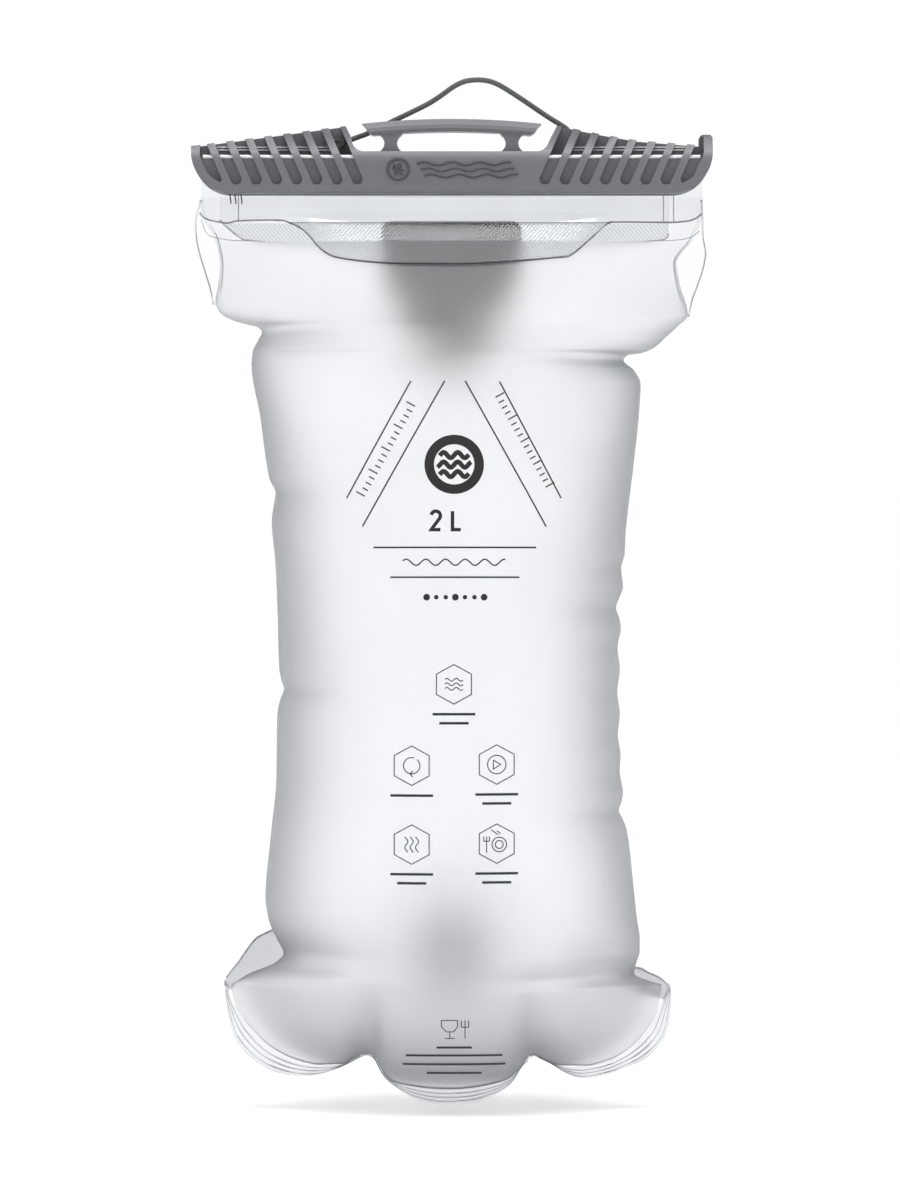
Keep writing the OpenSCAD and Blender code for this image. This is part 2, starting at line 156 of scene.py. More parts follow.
def grid_faces(rows, cols, closed=False):
    """Quads of a point grid, row by row; closed joins the last column to the first."""
    r = np.arange(rows - 1)[:, None]
    c = np.arange(cols if closed else cols - 1)[None, :]
    right = (c + 1) % cols
    quads = np.stack(np.broadcast_arrays(r * cols + c, r * cols + right, (r + 1) * cols + right,
                                         (r + 1) * cols + c), -1)
    return quads.reshape(-1, 4)


def new_piece(name, points, faces, material, body="reservoir", flat=False, uv=None):
    """A mesh object from arrays of points and faces, riding on a body."""
    mesh = bpy.data.meshes.new(name)
    faces = [list(map(int, f)) for f in faces]
    mesh.from_pydata(np.asarray(points, float).tolist(), [], faces)
    if uv is not None:
        layer = mesh.uv_layers.new(name="UVMap")
        loops = np.zeros(len(mesh.loops), np.int32)
        mesh.loops.foreach_get("vertex_index", loops)
        layer.data.foreach_set("uv", np.asarray(uv, np.float32)[loops].ravel())
    mesh.polygons.foreach_set("use_smooth", np.full(len(mesh.polygons), not flat))
    mesh.materials.append(material)
    mesh.update()
    piece = bpy.data.objects.new(name, mesh)
    bpy.context.scene.collection.objects.link(piece)
    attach(piece, body)
    return piece


def add_modifier(piece, kind, **settings):
    """Puts a modifier on a piece and sets its values."""
    made = piece.modifiers.new(kind.title(), kind)
    for key, value in settings.items():
        setattr(made, key, value)
    return made


def thicken(piece, thickness, offset=-1.0):
    """Gives an open sheet its wall."""
    return add_modifier(piece, "SOLIDIFY", thickness=thickness * MM, offset=offset, use_rim=True,
                        use_even_offset=False)


def tube_faces(rings, sides):
    """Faces of a tube whose two last points are its ends' middles, each end closed by a fan."""
    faces = grid_faces(rings, sides, closed=True).tolist()
    for j in range(sides):
        after = (j + 1) % sides
        faces.append([rings * sides, after, j])
        faces.append([rings * sides + 1, (rings - 1) * sides + j, (rings - 1) * sides + after])
    return faces


def swept(path, section, up=(0, 1, 0), scale=None):
    """A closed section of (a, b) points carried along a path of 3-D points: a along up, b across it.
    Returns points and faces with both ends closed by fans."""
    path = np.asarray(path, float)
    section = np.asarray(section, float)
    way = np.gradient(path, axis=0)
    way /= np.linalg.norm(way, axis=1)[:, None]
    up = np.broadcast_to(np.asarray(up, float), path.shape)
    side = np.cross(way, up)
    side /= np.linalg.norm(side, axis=1)[:, None]
    rise = np.cross(side, way)
    size = np.ones(len(path)) if scale is None else np.asarray(scale, float)
    rings = (path[:, None] + size[:, None, None] * (section[None, :, :1] * rise[:, None]
                                                     + section[None, :, 1:] * side[:, None]))
    n, k = rings.shape[:2]
    points = np.vstack([rings.reshape(-1, 3), path[:1], path[-1:]])
    return points, tube_faces(n, k)


def circle_section(r, n=12):
    """n points round a circle of radius r."""
    a = np.linspace(0, 2 * math.pi, n, endpoint=False)
    return np.stack([r * np.cos(a), r * np.sin(a)], 1)


# ---------------------------------------------------------------- the bag's shape

# height and edge of the body on each side: smooth stretches between pinched places
LEFT_EDGE = [(14, -90.5), (-4, -91.5), (-9, -90.5), (-16, -86.5), (-26, -84.6), (-33, -85.2), (-39, -86.2),
             (-43, -84.5), (-45.6, -80.5), (-47.2, -75.5), (-48.2, -71.2), (-50, -69.3), (-53, -70.6),
             (-57, -72.6), (-62, -73.1), (-81, -69.9), (-98, -67.6), (-104, -66.4), (-108.6, -64.3),
             (-113, -64.9), (-119, -65.7), (-135, -64.3), (-155, -63.5), (-172, -63), (-177, -62.2),
             (-180, -61.2), (-184, -62.6), (-190, -63.7), (-212, -64), (-234, -66.1), (-256, -68),
             (-264, -66.9), (-271, -64), (-276.6, -61.4), (-280, -64.5), (-284, -74), (-288, -80.4)]
RIGHT_EDGE = [(14, 90.5), (-4, 91.5), (-9, 91), (-16, 88), (-25, 82), (-34, 83.4), (-40, 85.4), (-44, 86),
              (-48, 82.4), (-52, 78), (-55.6, 74), (-57.8, 69), (-58.4, 64.4), (-60.4, 62.6), (-64, 66.4),
              (-69, 68.8), (-80, 68.2), (-98, 66.3), (-116, 64.1), (-124, 63.3), (-131, 63), (-136, 61.7),
              (-143, 62.4), (-147, 61), (-150.6, 59.8), (-154, 60.9), (-158, 61.6), (-165, 60.4),
              (-173, 61.2), (-181, 60.3), (-189, 61.2), (-197, 60.5), (-204, 61.5), (-210, 61.2),
              (-218, 62.4), (-221.5, 61.8), (-224.4, 60.8), (-227, 62), (-231, 63.6), (-254, 66.4),
              (-264, 67.5), (-271, 68.5), (-276, 68.5), (-280, 67.3), (-284, 66.4), (-286, 70), (-288, 76.4)]

# the hem's inner border, from the left corner to the right one
HEM_LINE = [(-80.4, -290), (-79.4, -294.5), (-76.6, -299.5), (-73, -304), (-66, -310.6), (-57, -315.2),
            (-48, -317.2), (-40, -317.2), (-35.4, -315.2), (-31.4, -313.7), (-28, -315), (-25.4, -320),
            (-22, -323.4), (-15, -325), (-7, -325.9), (0, -326.1), (8, -325.5), (16, -324), (21, -322.4),
            (25.2, -318.4), (29.6, -314.2), (34, -315.9), (40, -317.6), (48, -317.6), (57, -315.6),
            (65, -310.8), (71, -304.4), (75, -297), (76.4, -290)]
VALLEYS = (-31.4, 29.6)

# soft folds in the film: start across and up, way, length, width and depth
FOLDS = [(-69.3, -50, 20, 34, 5.0, 1.4), (-64.3, -108.6, -8, 20, 4.0, 1.1),
         (-61.2, -180, 6, 22, 4.5, 1.2), (-61.4, -276.6, -6, 30, 7.0, 2.6),
         (62.6, -60.4, 168, 34, 5.0, 1.6), (59.8, -150.6, 184, 18, 3.6, 1.0),
         (60.8, -224.4, 176, 20, 4.0, 1.1), (66.4, -284, 158, 34, 6.5, 2.6),
         (60.4, -165, 180, 12, 3.0, 0.6), (60.3, -181, 184, 12, 3.0, 0.6),
         (60.5, -197, 178, 13, 3.2, 0.6), (-66, -262, 14, 30, 9.0, -0.8), (67, -262, 168, 34, 9.0, -0.8)]


def edges_at(z):
    """Left and right edge of the body at a height."""
    left = np.array(LEFT_EDGE)[::-1]
    right = np.array(RIGHT_EDGE)[::-1]
    return steady_curve(left[:, 0], left[:, 1], z), steady_curve(right[:, 0], right[:, 1], z)


def hem_at(x):
    """Height of the hem's inner border under a point."""
    line = np.array(HEM_LINE)
    return steady_curve(line[:, 0], line[:, 1], x)


def valley_share(x):
    """1 in the hem's valleys, 0 in its lobes."""
    return sum(bell(x - v, 7.5) for v in VALLEYS)


def fold_depth(x, z):
    """Sum of the soft folds: each a bell across its line that fades along it."""
    total = np.zeros(np.broadcast(x, z).shape)
    for x0, z0, turn, length, width, depth in FOLDS:
        a = math.radians(turn)
        along = (x - x0) * math.cos(a) + (z - z0) * math.sin(a)
        across = -(x - x0) * math.sin(a) + (z - z0) * math.cos(a)
        spread = width * (1 + 0.8 * np.clip(along / length, 0, 1))
        total += depth * bell(across, spread) * smooth(-6, 4, along) * (1 - smooth(0.25, 1, along / length))
    return total


def swell(side, x, z):
    """Distance of a blown-up wall from the middle plane: a lens across at the top that turns into an ellipse
    lower down; along the height it rises from the top band and closes in a round end, drawn in sharply over
    its last few millimetres onto the lobed hem. The rear wall is drawn flat round the port."""
    left, right = edges_at(np.maximum(z, CORNER_Z))
    across = np.clip((2 * x - left - right) / (right - left), -1, 1)
    power = 0.95 - 0.45 * smooth(-18, -80, z) + 0.25 * smooth(-262, -300, z)
    below = np.maximum(0, BAG_TOP - z)
    above = np.maximum(0, z - hem_at(x))
    round_end = HEM_LOW + 36 * np.abs(x / 80) ** 3.2
    high = FULL_HALF * np.tanh(below / TOP_RISE) * np.tanh(np.maximum(0, z - round_end) / HEM_RISE)
    high = high * (1 - np.exp(-above / 4.5))
    out = high * np.power(np.maximum(0, 1 - across ** 2), power)
    near_edge = smooth(0.0, 0.35, 1 - np.abs(across))
    out = out - fold_depth(x, z) * (0.25 + 0.75 * near_edge) * smooth(2, 10, out)
    if side > 0:
        r = np.hypot(x, (z - PORT_Z) / math.cos(PORT_TILT))
        level = PORT_Y + (z - PORT_Z) * math.tan(PORT_TILT) - 0.5
        out = level + (out - level) * smooth(24, 42, r)
    return np.maximum(0, out)


def middle_plane(x, z):
    """The hem is drawn back in its valleys, and so is the film just above it."""
    above = np.maximum(0, z - hem_at(x))
    return 6.5 * valley_share(x) * bell(above, 26) * smooth(CORNER_Z + 24, CORNER_Z - 12, z)


def wall_y(side, x, z, lift=0.35):
    """Depth of a wall's outer face at a point."""
    return middle_plane(x, z) + side * (swell(side, x, z) + lift)


def body_grid(cols=150, step=1.15):
    """Points across and up for the whole body: rows one step apart, closer at the shoulders, then down to the
    hem."""
    rows = np.concatenate([np.arange(12, -40, -step), np.arange(-40, -64, -0.5 * step),
                           np.arange(-64, -268, -1.25 * step), np.arange(-268, CORNER_Z, -0.6 * step)])
    turn = np.linspace(0, math.pi, cols + 1)[None, :]
    left, right = edges_at(rows)
    x = (left[:, None] + right[:, None]) / 2 - (right - left)[:, None] / 2 * np.cos(turn)
    z = np.repeat(rows[:, None], cols + 1, 1)
    low = np.linspace(0, 1, 34)[:, None]
    left, right = edges_at(np.array([CORNER_Z]))
    last = (left + right) / 2 - (right - left) / 2 * np.cos(turn[0])
    x = np.vstack([x, np.repeat(last[None, :], len(low), 0)])
    z = np.vstack([z, CORNER_Z + low * (hem_at(last)[None, :] - CORNER_Z)])
    return x, z


# ---------------------------------------------------------------- materials

def material(name, colour, roughness, metallic=0.0, **sockets):
    """A Principled material with its plain values, ready for patterns."""
    made = bpy.data.materials.new(name)
    made.use_nodes = True
    shader = made.node_tree.nodes["Principled BSDF"]
    shader.inputs["Base Color"].default_value = (*colour, 1)
    shader.inputs["Roughness"].default_value = roughness
    shader.inputs["Metallic"].default_value = metallic
    for key, value in sockets.items():
        shader.inputs[key.replace("_", " ")].default_value = value
    return made


def node(made, kind, **values):
    """A new node in a material or group, with its plain values."""
    tree = made.node_tree if hasattr(made, "node_tree") else made
    built = tree.nodes.new(kind)
    for key, value in values.items():
        if key in built.bl_rna.properties:
            setattr(built, key, value)
        else:
            built.inputs[key.replace("_", " ")].default_value = value
    return built


def link(made, source, target):
    tree = made.node_tree if hasattr(made, "node_tree") else made
    tree.links.new(source, target)


def shader_of(made):
    return made.node_tree.nodes["Principled BSDF"]


def ramp(made, source, start, end, low, high, kind="SMOOTHSTEP"):
    """A value that goes from low to high while the source goes from start to end."""
    built = node(made, "ShaderNodeMapRange", interpolation_type=kind)
    for key, value in (("From Min", start), ("From Max", end), ("To Min", low), ("To Max", high)):
        built.inputs[key].default_value = value
    link(made, source, built.inputs["Value"])
    return built.outputs["Result"]


def grain_group():
    """Fine moulded grain: two scales of noise give a colour factor, a roughness value and a height."""
    group = bpy.data.node_groups.new("moulded_grain", "ShaderNodeTree")
    face = group.interface
    for label, value in (("Scale", 900.0), ("Roughness", 0.5), ("Spread", 0.1)):
        face.new_socket(label, in_out="INPUT", socket_type="NodeSocketFloat").default_value = value
    grey = face.new_socket("Colour", in_out="INPUT", socket_type="NodeSocketColor")
    grey.default_value = (0.2, 0.2, 0.2, 1)
    face.new_socket("Colour", in_out="OUTPUT", socket_type="NodeSocketColor")
    face.new_socket("Roughness", in_out="OUTPUT", socket_type="NodeSocketFloat")
    face.new_socket("Height", in_out="OUTPUT", socket_type="NodeSocketFloat")
    ins = group.nodes.new("NodeGroupInput")
    outs = group.nodes.new("NodeGroupOutput")
    place = node(group, "ShaderNodeTexCoord")
    fine = node(group, "ShaderNodeTexNoise", Detail=3.0, Roughness=0.6)
    broad = node(group, "ShaderNodeTexNoise", Scale=60.0, Detail=2.0)
    link(group, place.outputs["Object"], fine.inputs["Vector"])
    link(group, place.outputs["Object"], broad.inputs["Vector"])
    link(group, ins.outputs["Scale"], fine.inputs["Scale"])
    both = node(group, "ShaderNodeMath", operation="ADD")
    link(group, fine.outputs["Fac"], both.inputs[0])
    link(group, broad.outputs["Fac"], both.inputs[1])
    centred = node(group, "ShaderNodeMath", operation="SUBTRACT")
    link(group, both.outputs[0], centred.inputs[0])
    centred.inputs[1].default_value = 1.0
    spread = node(group, "ShaderNodeMath", operation="MULTIPLY")
    link(group, centred.outputs[0], spread.inputs[0])
    link(group, ins.outputs["Spread"], spread.inputs[1])
    rough = node(group, "ShaderNodeMath", operation="ADD", use_clamp=True)
    link(group, ins.outputs["Roughness"], rough.inputs[0])
    link(group, spread.outputs[0], rough.inputs[1])
    bright = node(group, "ShaderNodeMath", operation="ADD")
    bright.inputs[1].default_value = 1.0
    link(group, spread.outputs[0], bright.inputs[0])
    tint = node(group, "ShaderNodeHueSaturation")
    link(group, bright.outputs[0], tint.inputs["Value"])
    link(group, ins.outputs["Colour"], tint.inputs["Color"])
    link(group, tint.outputs["Color"], outs.inputs["Colour"])
    link(group, rough.outputs[0], outs.inputs["Roughness"])
    link(group, fine.outputs["Fac"], outs.inputs["Height"])
    return group


GRAIN = grain_group()


def moulded(name, colour, roughness, grain=900.0, spread=0.1, height=0.02, **sockets):
    """Moulded plastic or rubber: grain in colour, gloss and height."""
    made = material(name, colour, roughness, **sockets)
    shader = shader_of(made)
    look = node(made, "ShaderNodeGroup", node_tree=GRAIN)
    look.inputs["Scale"].default_value = grain
    look.inputs["Roughness"].default_value = roughness
    look.inputs["Spread"].default_value = spread
    look.inputs["Colour"].default_value = (*colour, 1)
    bump = node(made, "ShaderNodeBump", Strength=1.0, Distance=height * MM)
    link(made, look.outputs["Colour"], shader.inputs["Base Color"])
    link(made, look.outputs["Roughness"], shader.inputs["Roughness"])
    link(made, look.outputs["Height"], bump.inputs["Height"])
    link(made, bump.outputs["Normal"], shader.inputs["Normal"])
    return made


def frosted_film(name="frosted_film", tint=(0.98, 0.99, 1), slanted=(0.49, 0.51, 0.535)):
    """Frosted film: it lets light through and blurs it. Its colour is painted darker where it is seen aslant
    and towards the hem, which is painted shade, and it turns clear and glossy above the frosting's edge."""
    made = material(name, tint, 0.5, Transmission_Weight=0.99, IOR=1.38, Specular_IOR_Level=0.08)
    shader = shader_of(made)
    place = node(made, "ShaderNodeTexCoord")
    parts = node(made, "ShaderNodeSeparateXYZ")
    link(made, place.outputs["Object"], parts.inputs[0])
    # painted shade: the colour goes over to the slanted tone where the film is seen aslant
    aslant = node(made, "ShaderNodeLayerWeight", Blend=0.5)
    shade = ramp(made, aslant.outputs["Facing"], 0.1, 0.95, 0.0, 1.0)
    painted_edge_shade_mix = node(made, "ShaderNodeMix", data_type="RGBA")
    painted_edge_shade_mix.inputs[6].default_value = (*tint, 1)
    painted_edge_shade_mix.inputs[7].default_value = (*slanted, 1)
    link(made, shade, painted_edge_shade_mix.inputs[0])
    # painted shade: the colour is made darker towards the hem
    low = ramp(made, parts.outputs["Z"], (BAR_Z - 235) * MM, (BAR_Z - 322) * MM, 1.0, 0.88)
    cloud = node(made, "ShaderNodeTexNoise", Scale=28.0, Detail=2.0)
    link(made, place.outputs["Object"], cloud.inputs["Vector"])
    uneven = ramp(made, cloud.outputs["Fac"], 0.3, 0.7, 0.965, 1.0, kind="LINEAR")
    both = node(made, "ShaderNodeMath", operation="MULTIPLY")
    link(made, low, both.inputs[0])
    link(made, uneven, both.inputs[1])
    tone = node(made, "ShaderNodeMix", data_type="RGBA", blend_type="MULTIPLY")
    tone.inputs[0].default_value = 1.0
    link(made, painted_edge_shade_mix.outputs[2], tone.inputs[6])
    link(made, both.outputs[0], tone.inputs[7])
    link(made, tone.outputs[2], shader.inputs["Base Color"])
    clear = ramp(made, parts.outputs["Z"], (BAR_Z - 18.6) * MM, (BAR_Z - 16.6) * MM, 0.5, 0.08)
    link(made, clear, shader.inputs["Roughness"])
    speck = node(made, "ShaderNodeTexNoise", Scale=1400.0, Detail=2.0)
    link(made, place.outputs["Object"], speck.inputs["Vector"])
    bump = node(made, "ShaderNodeBump", Strength=0.6, Distance=0.006 * MM)
    link(made, speck.outputs["Fac"], bump.inputs["Height"])
    link(made, bump.outputs["Normal"], shader.inputs["Normal"])
    return made


def clear_film(name, hatch=0.0, lean=1.0, tint=(0.98, 0.985, 0.99), roughness=0.06, ior=1.25):
    """Clear glossy film. With hatch, fine slanted ribs of that height start below HATCH_TOP."""
    made = material(name, tint, roughness, Transmission_Weight=0.97, IOR=ior, Specular_IOR_Level=0.25)
    if not hatch:
        return made
    shader = shader_of(made)
    place = node(made, "ShaderNodeTexCoord")
    turn = node(made, "ShaderNodeMapping")
    turn.inputs["Rotation"].default_value = (0, lean * math.radians(42), 0)
    link(made, place.outputs["Object"], turn.inputs["Vector"])
    ribs = node(made, "ShaderNodeTexWave", wave_type="BANDS", bands_direction="X", Scale=290.0)
    link(made, turn.outputs["Vector"], ribs.inputs["Vector"])
    parts = node(made, "ShaderNodeSeparateXYZ")
    link(made, place.outputs["Object"], parts.inputs[0])
    where = ramp(made, parts.outputs["Z"], (BAR_Z + HATCH_TOP + 0.3) * MM,
                 (BAR_Z + HATCH_TOP - 0.3) * MM, 0.0, 1.0)
    held = node(made, "ShaderNodeMath", operation="MULTIPLY")
    link(made, ribs.outputs["Fac"], held.inputs[0])
    link(made, where, held.inputs[1])
    bump = node(made, "ShaderNodeBump", Strength=1.0, Distance=hatch * MM)
    link(made, held.outputs[0], bump.inputs["Height"])
    link(made, bump.outputs["Normal"], shader.inputs["Normal"])
    cloudy = node(made, "ShaderNodeMath", operation="MULTIPLY_ADD")
    cloudy.inputs[1].default_value = 0.75
    link(made, held.outputs[0], cloudy.inputs[0])
    share = node(made, "ShaderNodeMath", operation="MULTIPLY")
    share.inputs[1].default_value = 0.25
    link(made, where, share.inputs[0])
    link(made, share.outputs[0], cloudy.inputs[2])
    tone = node(made, "ShaderNodeMix", data_type="RGBA")
    tone.inputs[6].default_value = (*tint, 1)
    tone.inputs[7].default_value = (0.72, 0.735, 0.75, 1)
    link(made, cloudy.outputs[0], tone.inputs[0])
    link(made, tone.outputs[2], shader.inputs["Base Color"])
    return made


def braided_cord():
    """Thin braided cord: crossing strands along the cord's own map."""
    made = material("cord_braid", (0.055, 0.062, 0.06), 0.72)
    shader = shader_of(made)
    place = node(made, "ShaderNodeUVMap", uv_map="UVMap")
    heights = []
    for lean in (-1, 1):
        turn = node(made, "ShaderNodeMapping")
        turn.inputs["Rotation"].default_value = (0, 0, lean * math.radians(45))
        link(made, place.outputs["UV"], turn.inputs["Vector"])
        strands = node(made, "ShaderNodeTexWave", wave_type="BANDS", bands_direction="X", Scale=0.9)
        link(made, turn.outputs["Vector"], strands.inputs["Vector"])
        heights.append(strands.outputs["Fac"])
    high = node(made, "ShaderNodeMath", operation="MAXIMUM")
    link(made, heights[0], high.inputs[0])
    link(made, heights[1], high.inputs[1])
    tone = node(made, "ShaderNodeMix", data_type="RGBA")
    tone.inputs[6].default_value = (0.03, 0.034, 0.033, 1)
    tone.inputs[7].default_value = (0.105, 0.115, 0.11, 1)
    link(made, high.outputs[0], tone.inputs[0])
    link(made, tone.outputs[2], shader.inputs["Base Color"])
    bump = node(made, "ShaderNodeBump", Strength=1.0, Distance=0.08 * MM)
    link(made, high.outputs[0], bump.inputs["Height"])
    link(made, bump.outputs["Normal"], shader.inputs["Normal"])
    return made


def spring_wire():
    """Drawn steel wire."""
    return material("spring_wire", (0.6, 0.6, 0.62), 0.25, metallic=1.0)


FINISHES = {
    "bar": moulded("bar_plastic", (0.139, 0.135, 0.148), 0.4, grain=1500, spread=0.16, height=0.035),
    "grip": moulded("grip_plastic", (0.178, 0.167, 0.188), 0.34, grain=2400, spread=0.06, height=0.008),
    "rail": moulded("rail_plastic", (0.135, 0.132, 0.147), 0.42, grain=1200, spread=0.1, height=0.015),
    "bead": moulded("white_seal", (0.86, 0.86, 0.88), 0.35, grain=800, spread=0.03, height=0.01),
    "tab": moulded("tab_plastic", (0.022, 0.025, 0.026), 0.5, grain=1100, spread=0.1, height=0.02),
    "port": moulded("port_plastic", (0.42, 0.415, 0.43), 0.42, grain=1300, spread=0.1, height=0.02),
    "flange": clear_film("flange_film", tint=(0.96, 0.965, 0.97), roughness=0.3, ior=1.2),
    "valve": moulded("valve_plastic", (0.3, 0.31, 0.33), 0.4, grain=1300, spread=0.06, height=0.01),
    # light-coloured plastic for the lines along the slots: painted highlight
    "painted_highlight_line": moulded("painted_highlight_line", (0.72, 0.72, 0.74), 0.3, grain=900, spread=0.04, height=0.004),
    "mark": moulded("bar_mark", (0.05, 0.049, 0.055), 0.5, grain=1500, spread=0.1, height=0.02),
    "rubber": moulded("black_rubber", (0.012, 0.012, 0.013), 0.55, grain=1000, spread=0.1, height=0.01),
    "button": moulded("button_plastic", (0.2, 0.19, 0.21), 0.4, grain=1500, spread=0.08, height=0.01),
    "spring": spring_wire(),
    "cord": braided_cord(),
    "film": frosted_film(),
    # the ears' darker tint is partly the double folded film and partly painted shade of the flap behind the
    # body
    "fold": frosted_film("folded_film_with_painted_shade", tint=(0.66, 0.67, 0.69), slanted=(0.4, 0.41, 0.43)),
    "clear": clear_film("clear_film"),
    # dark-tinted clear film for thin beads along film edges, welds and the frosting's edge: the dark tint is
    # painted shade
    "painted_shade_line": clear_film("clear_painted_shade_line", tint=(0.42, 0.43, 0.44), roughness=0.12),
    "wing_painted_edge_shade": clear_film("wing_painted_edge_shade", tint=(0.78, 0.79, 0.8), roughness=0.12),
    "hem": clear_film("hem_film", tint=(0.78, 0.79, 0.81), roughness=0.3, ior=1.4),
    "hem_line": moulded("hem_ridge", (0.5, 0.51, 0.53), 0.4, grain=900, spread=0.05, height=0.004),
    "front_hatch": clear_film("front_hatched_film", hatch=0.12, lean=-1),
    "rear_hatch": clear_film("rear_hatched_film", hatch=0.12, lean=1),
    "ink": moulded("print_ink", (0.008, 0.008, 0.009), 0.5, grain=2000, spread=0.04, height=0.003),
}


# ---------------------------------------------------------------- films

def drop_port_hole(x, z, faces):
    """Takes the faces inside the port's neck away and draws the hole's rim onto a circle."""
    tilt = math.cos(PORT_TILT)
    r = np.hypot(x, (z - PORT_Z) / tilt).ravel()
    kept = faces[(r[faces] > NECK_R + 0.1).all(1)]
    used = np.bincount(kept.ravel(), minlength=len(r))
    rim = (used > 0) & (used < 4) & (r < NECK_R + 3)
    flat_x = x.ravel().copy()
    flat_z = z.ravel().copy()
    squeeze = np.where(rim, (NECK_R + 0.15) / np.maximum(r, 1), 1)
    flat_x *= squeeze
    flat_z = PORT_Z + (flat_z - PORT_Z) * squeeze
    return flat_x.reshape(x.shape), flat_z.reshape(z.shape), kept


def film(side):
    """One blown-up wall of the bag, as the swell worked out over the body's grid."""
    x, z = body_grid()
    faces = grid_faces(*x.shape)
    if side > 0:
        x, z, faces = drop_port_hole(x, z, faces)
    points = to_frame(x, wall_y(side, x, z), z)
    if side < 0:
        faces = faces[:, ::-1]
    used = np.unique(faces)
    place = np.zeros(len(points), int)
    place[used] = np.arange(len(used))
    name = "front_film_skin" if side < 0 else "rear_film_skin"
    piece = new_piece(name, points[used], place[faces], FINISHES["film"])
    thicken(piece, FILM_T)
    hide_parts("front_film" if side < 0 else "rear_film")
    return piece


def wall_patch(name, side, x, z, lift, thickness, look):
    """A slab laid on a wall over a grid of places, rows from the top, its outer face at lift + thickness."""
    outer = wall_y(side, x, z, lift + thickness)
    faces = grid_faces(*np.shape(x))
    if side < 0:
        faces = faces[:, ::-1]
    piece = new_piece(name, to_frame(x, outer, z), faces, FINISHES[look])
    thicken(piece, thickness)
    return piece


def bead_on_wall(name, side, line, radius, look, lift=0.9):
    """A thin round bead laid on a wall along a line of places."""
    path = even_path(line, max(24, int(len(line) * 10)))
    y = wall_y(side, path[:, 0], path[:, 1], lift)
    points, faces = swept(np.stack([path[:, 0], y, path[:, 1]], 1), circle_section(radius, 10))
    return new_piece(name, to_frame(*points.T), faces, FINISHES[look])


# the front strip's lower edge and the rear strip's
FRONT_LINE = [(-92, -6.6), (-89.6, -8.9), (-82, -10.4), (-77.6, -9.6), (-63.4, -9.4), (-59.2, -10.4),
              (-55.2, -12.3), (-51.8, -15.4), (-49.4, -18.4), (-46.2, -21.4), (-40.8, -23.7), (-25, -25.7),
              (0, -26.1), (15, -25.6), (39, -23.5), (43.2, -22.6), (50.2, -16.6), (56.6, -10.8), (60, -10.1),
              (78, -10.2), (84, -9.9), (88, -9.1), (91.2, -7)]
REAR_LINE = [(-84.6, -9), (-83, -11), (-77.8, -15.2), (-74.6, -16.3), (-58, -17.9), (-50, -18.3), (0, -18.8),
             (54, -17.7), (69, -16.9), (77.8, -16), (79, -14)]


def strip(side, name, line, top, look):
    """A clear strip from the rails down to its shaped lower edge."""
    line = np.array(line)
    across = np.linspace(line[0, 0], line[-1, 0], 240)
    low = steady_curve(line[:, 0], line[:, 1], across)
    share = np.linspace(0, 1, 22)[:, None]
    x = np.repeat(across[None, :], 22, 0)
    z = top + share * (low[None, :] - top)
    piece = wall_patch(name, side, x, z, 0.1, 0.5, look)
    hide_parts("front_seal_strip" if side < 0 else "rear_seal_strip")
    # a dark bead along the strip's lower edge: painted shade of the edge's outline
    bead_on_wall(name + "_edge", side, line, 0.32, "painted_shade_line", lift=0.85)
    return piece


def clear_lines():
    """Lines of the clear top band: welds across and upright, short folds, and the frosting's edge, drawn as
    thin beads whose dark tint is painted shade.
    """
    bead_on_wall("weld_line_across", -1, [(-59, -10.4), (-30, -10.5), (0, -10.5), (30, -10.5), (58, -10.4)],
                 0.2, "painted_shade_line", lift=0.85)
    for n, x in enumerate((-77.8, 77.1, 80.8)):
        upright = [(x, -0.5), (x, -5), (x, -9.8)]
        bead_on_wall("weld_line_upright_%d" % n, -1, upright, 0.22, "painted_shade_line", lift=0.8)
    # the short folds are black beads: painted shade in the creases
    for n, x in enumerate((-81, -79.2, -77)):
        fold = [(x, 0.2), (x + 0.3, -1.6), (x + 0.5, -3.4)]
        bead_on_wall("fold_painted_shade_%d" % n, -1, fold, 0.24, "tab", lift=0.8)
    left = [(-91.4, -9), (-89.6, -13.8), (-86.9, -15.5), (-80.6, -16.7), (-72, -17)]
    right = [(72, -17), (81.5, -16.7), (87.2, -15.5), (90.4, -13.2)]
    bead_on_wall("frost_edge_left", -1, left, 0.16, "painted_shade_line", lift=0.45)
    bead_on_wall("frost_edge_right", -1, right, 0.16, "painted_shade_line", lift=0.45)


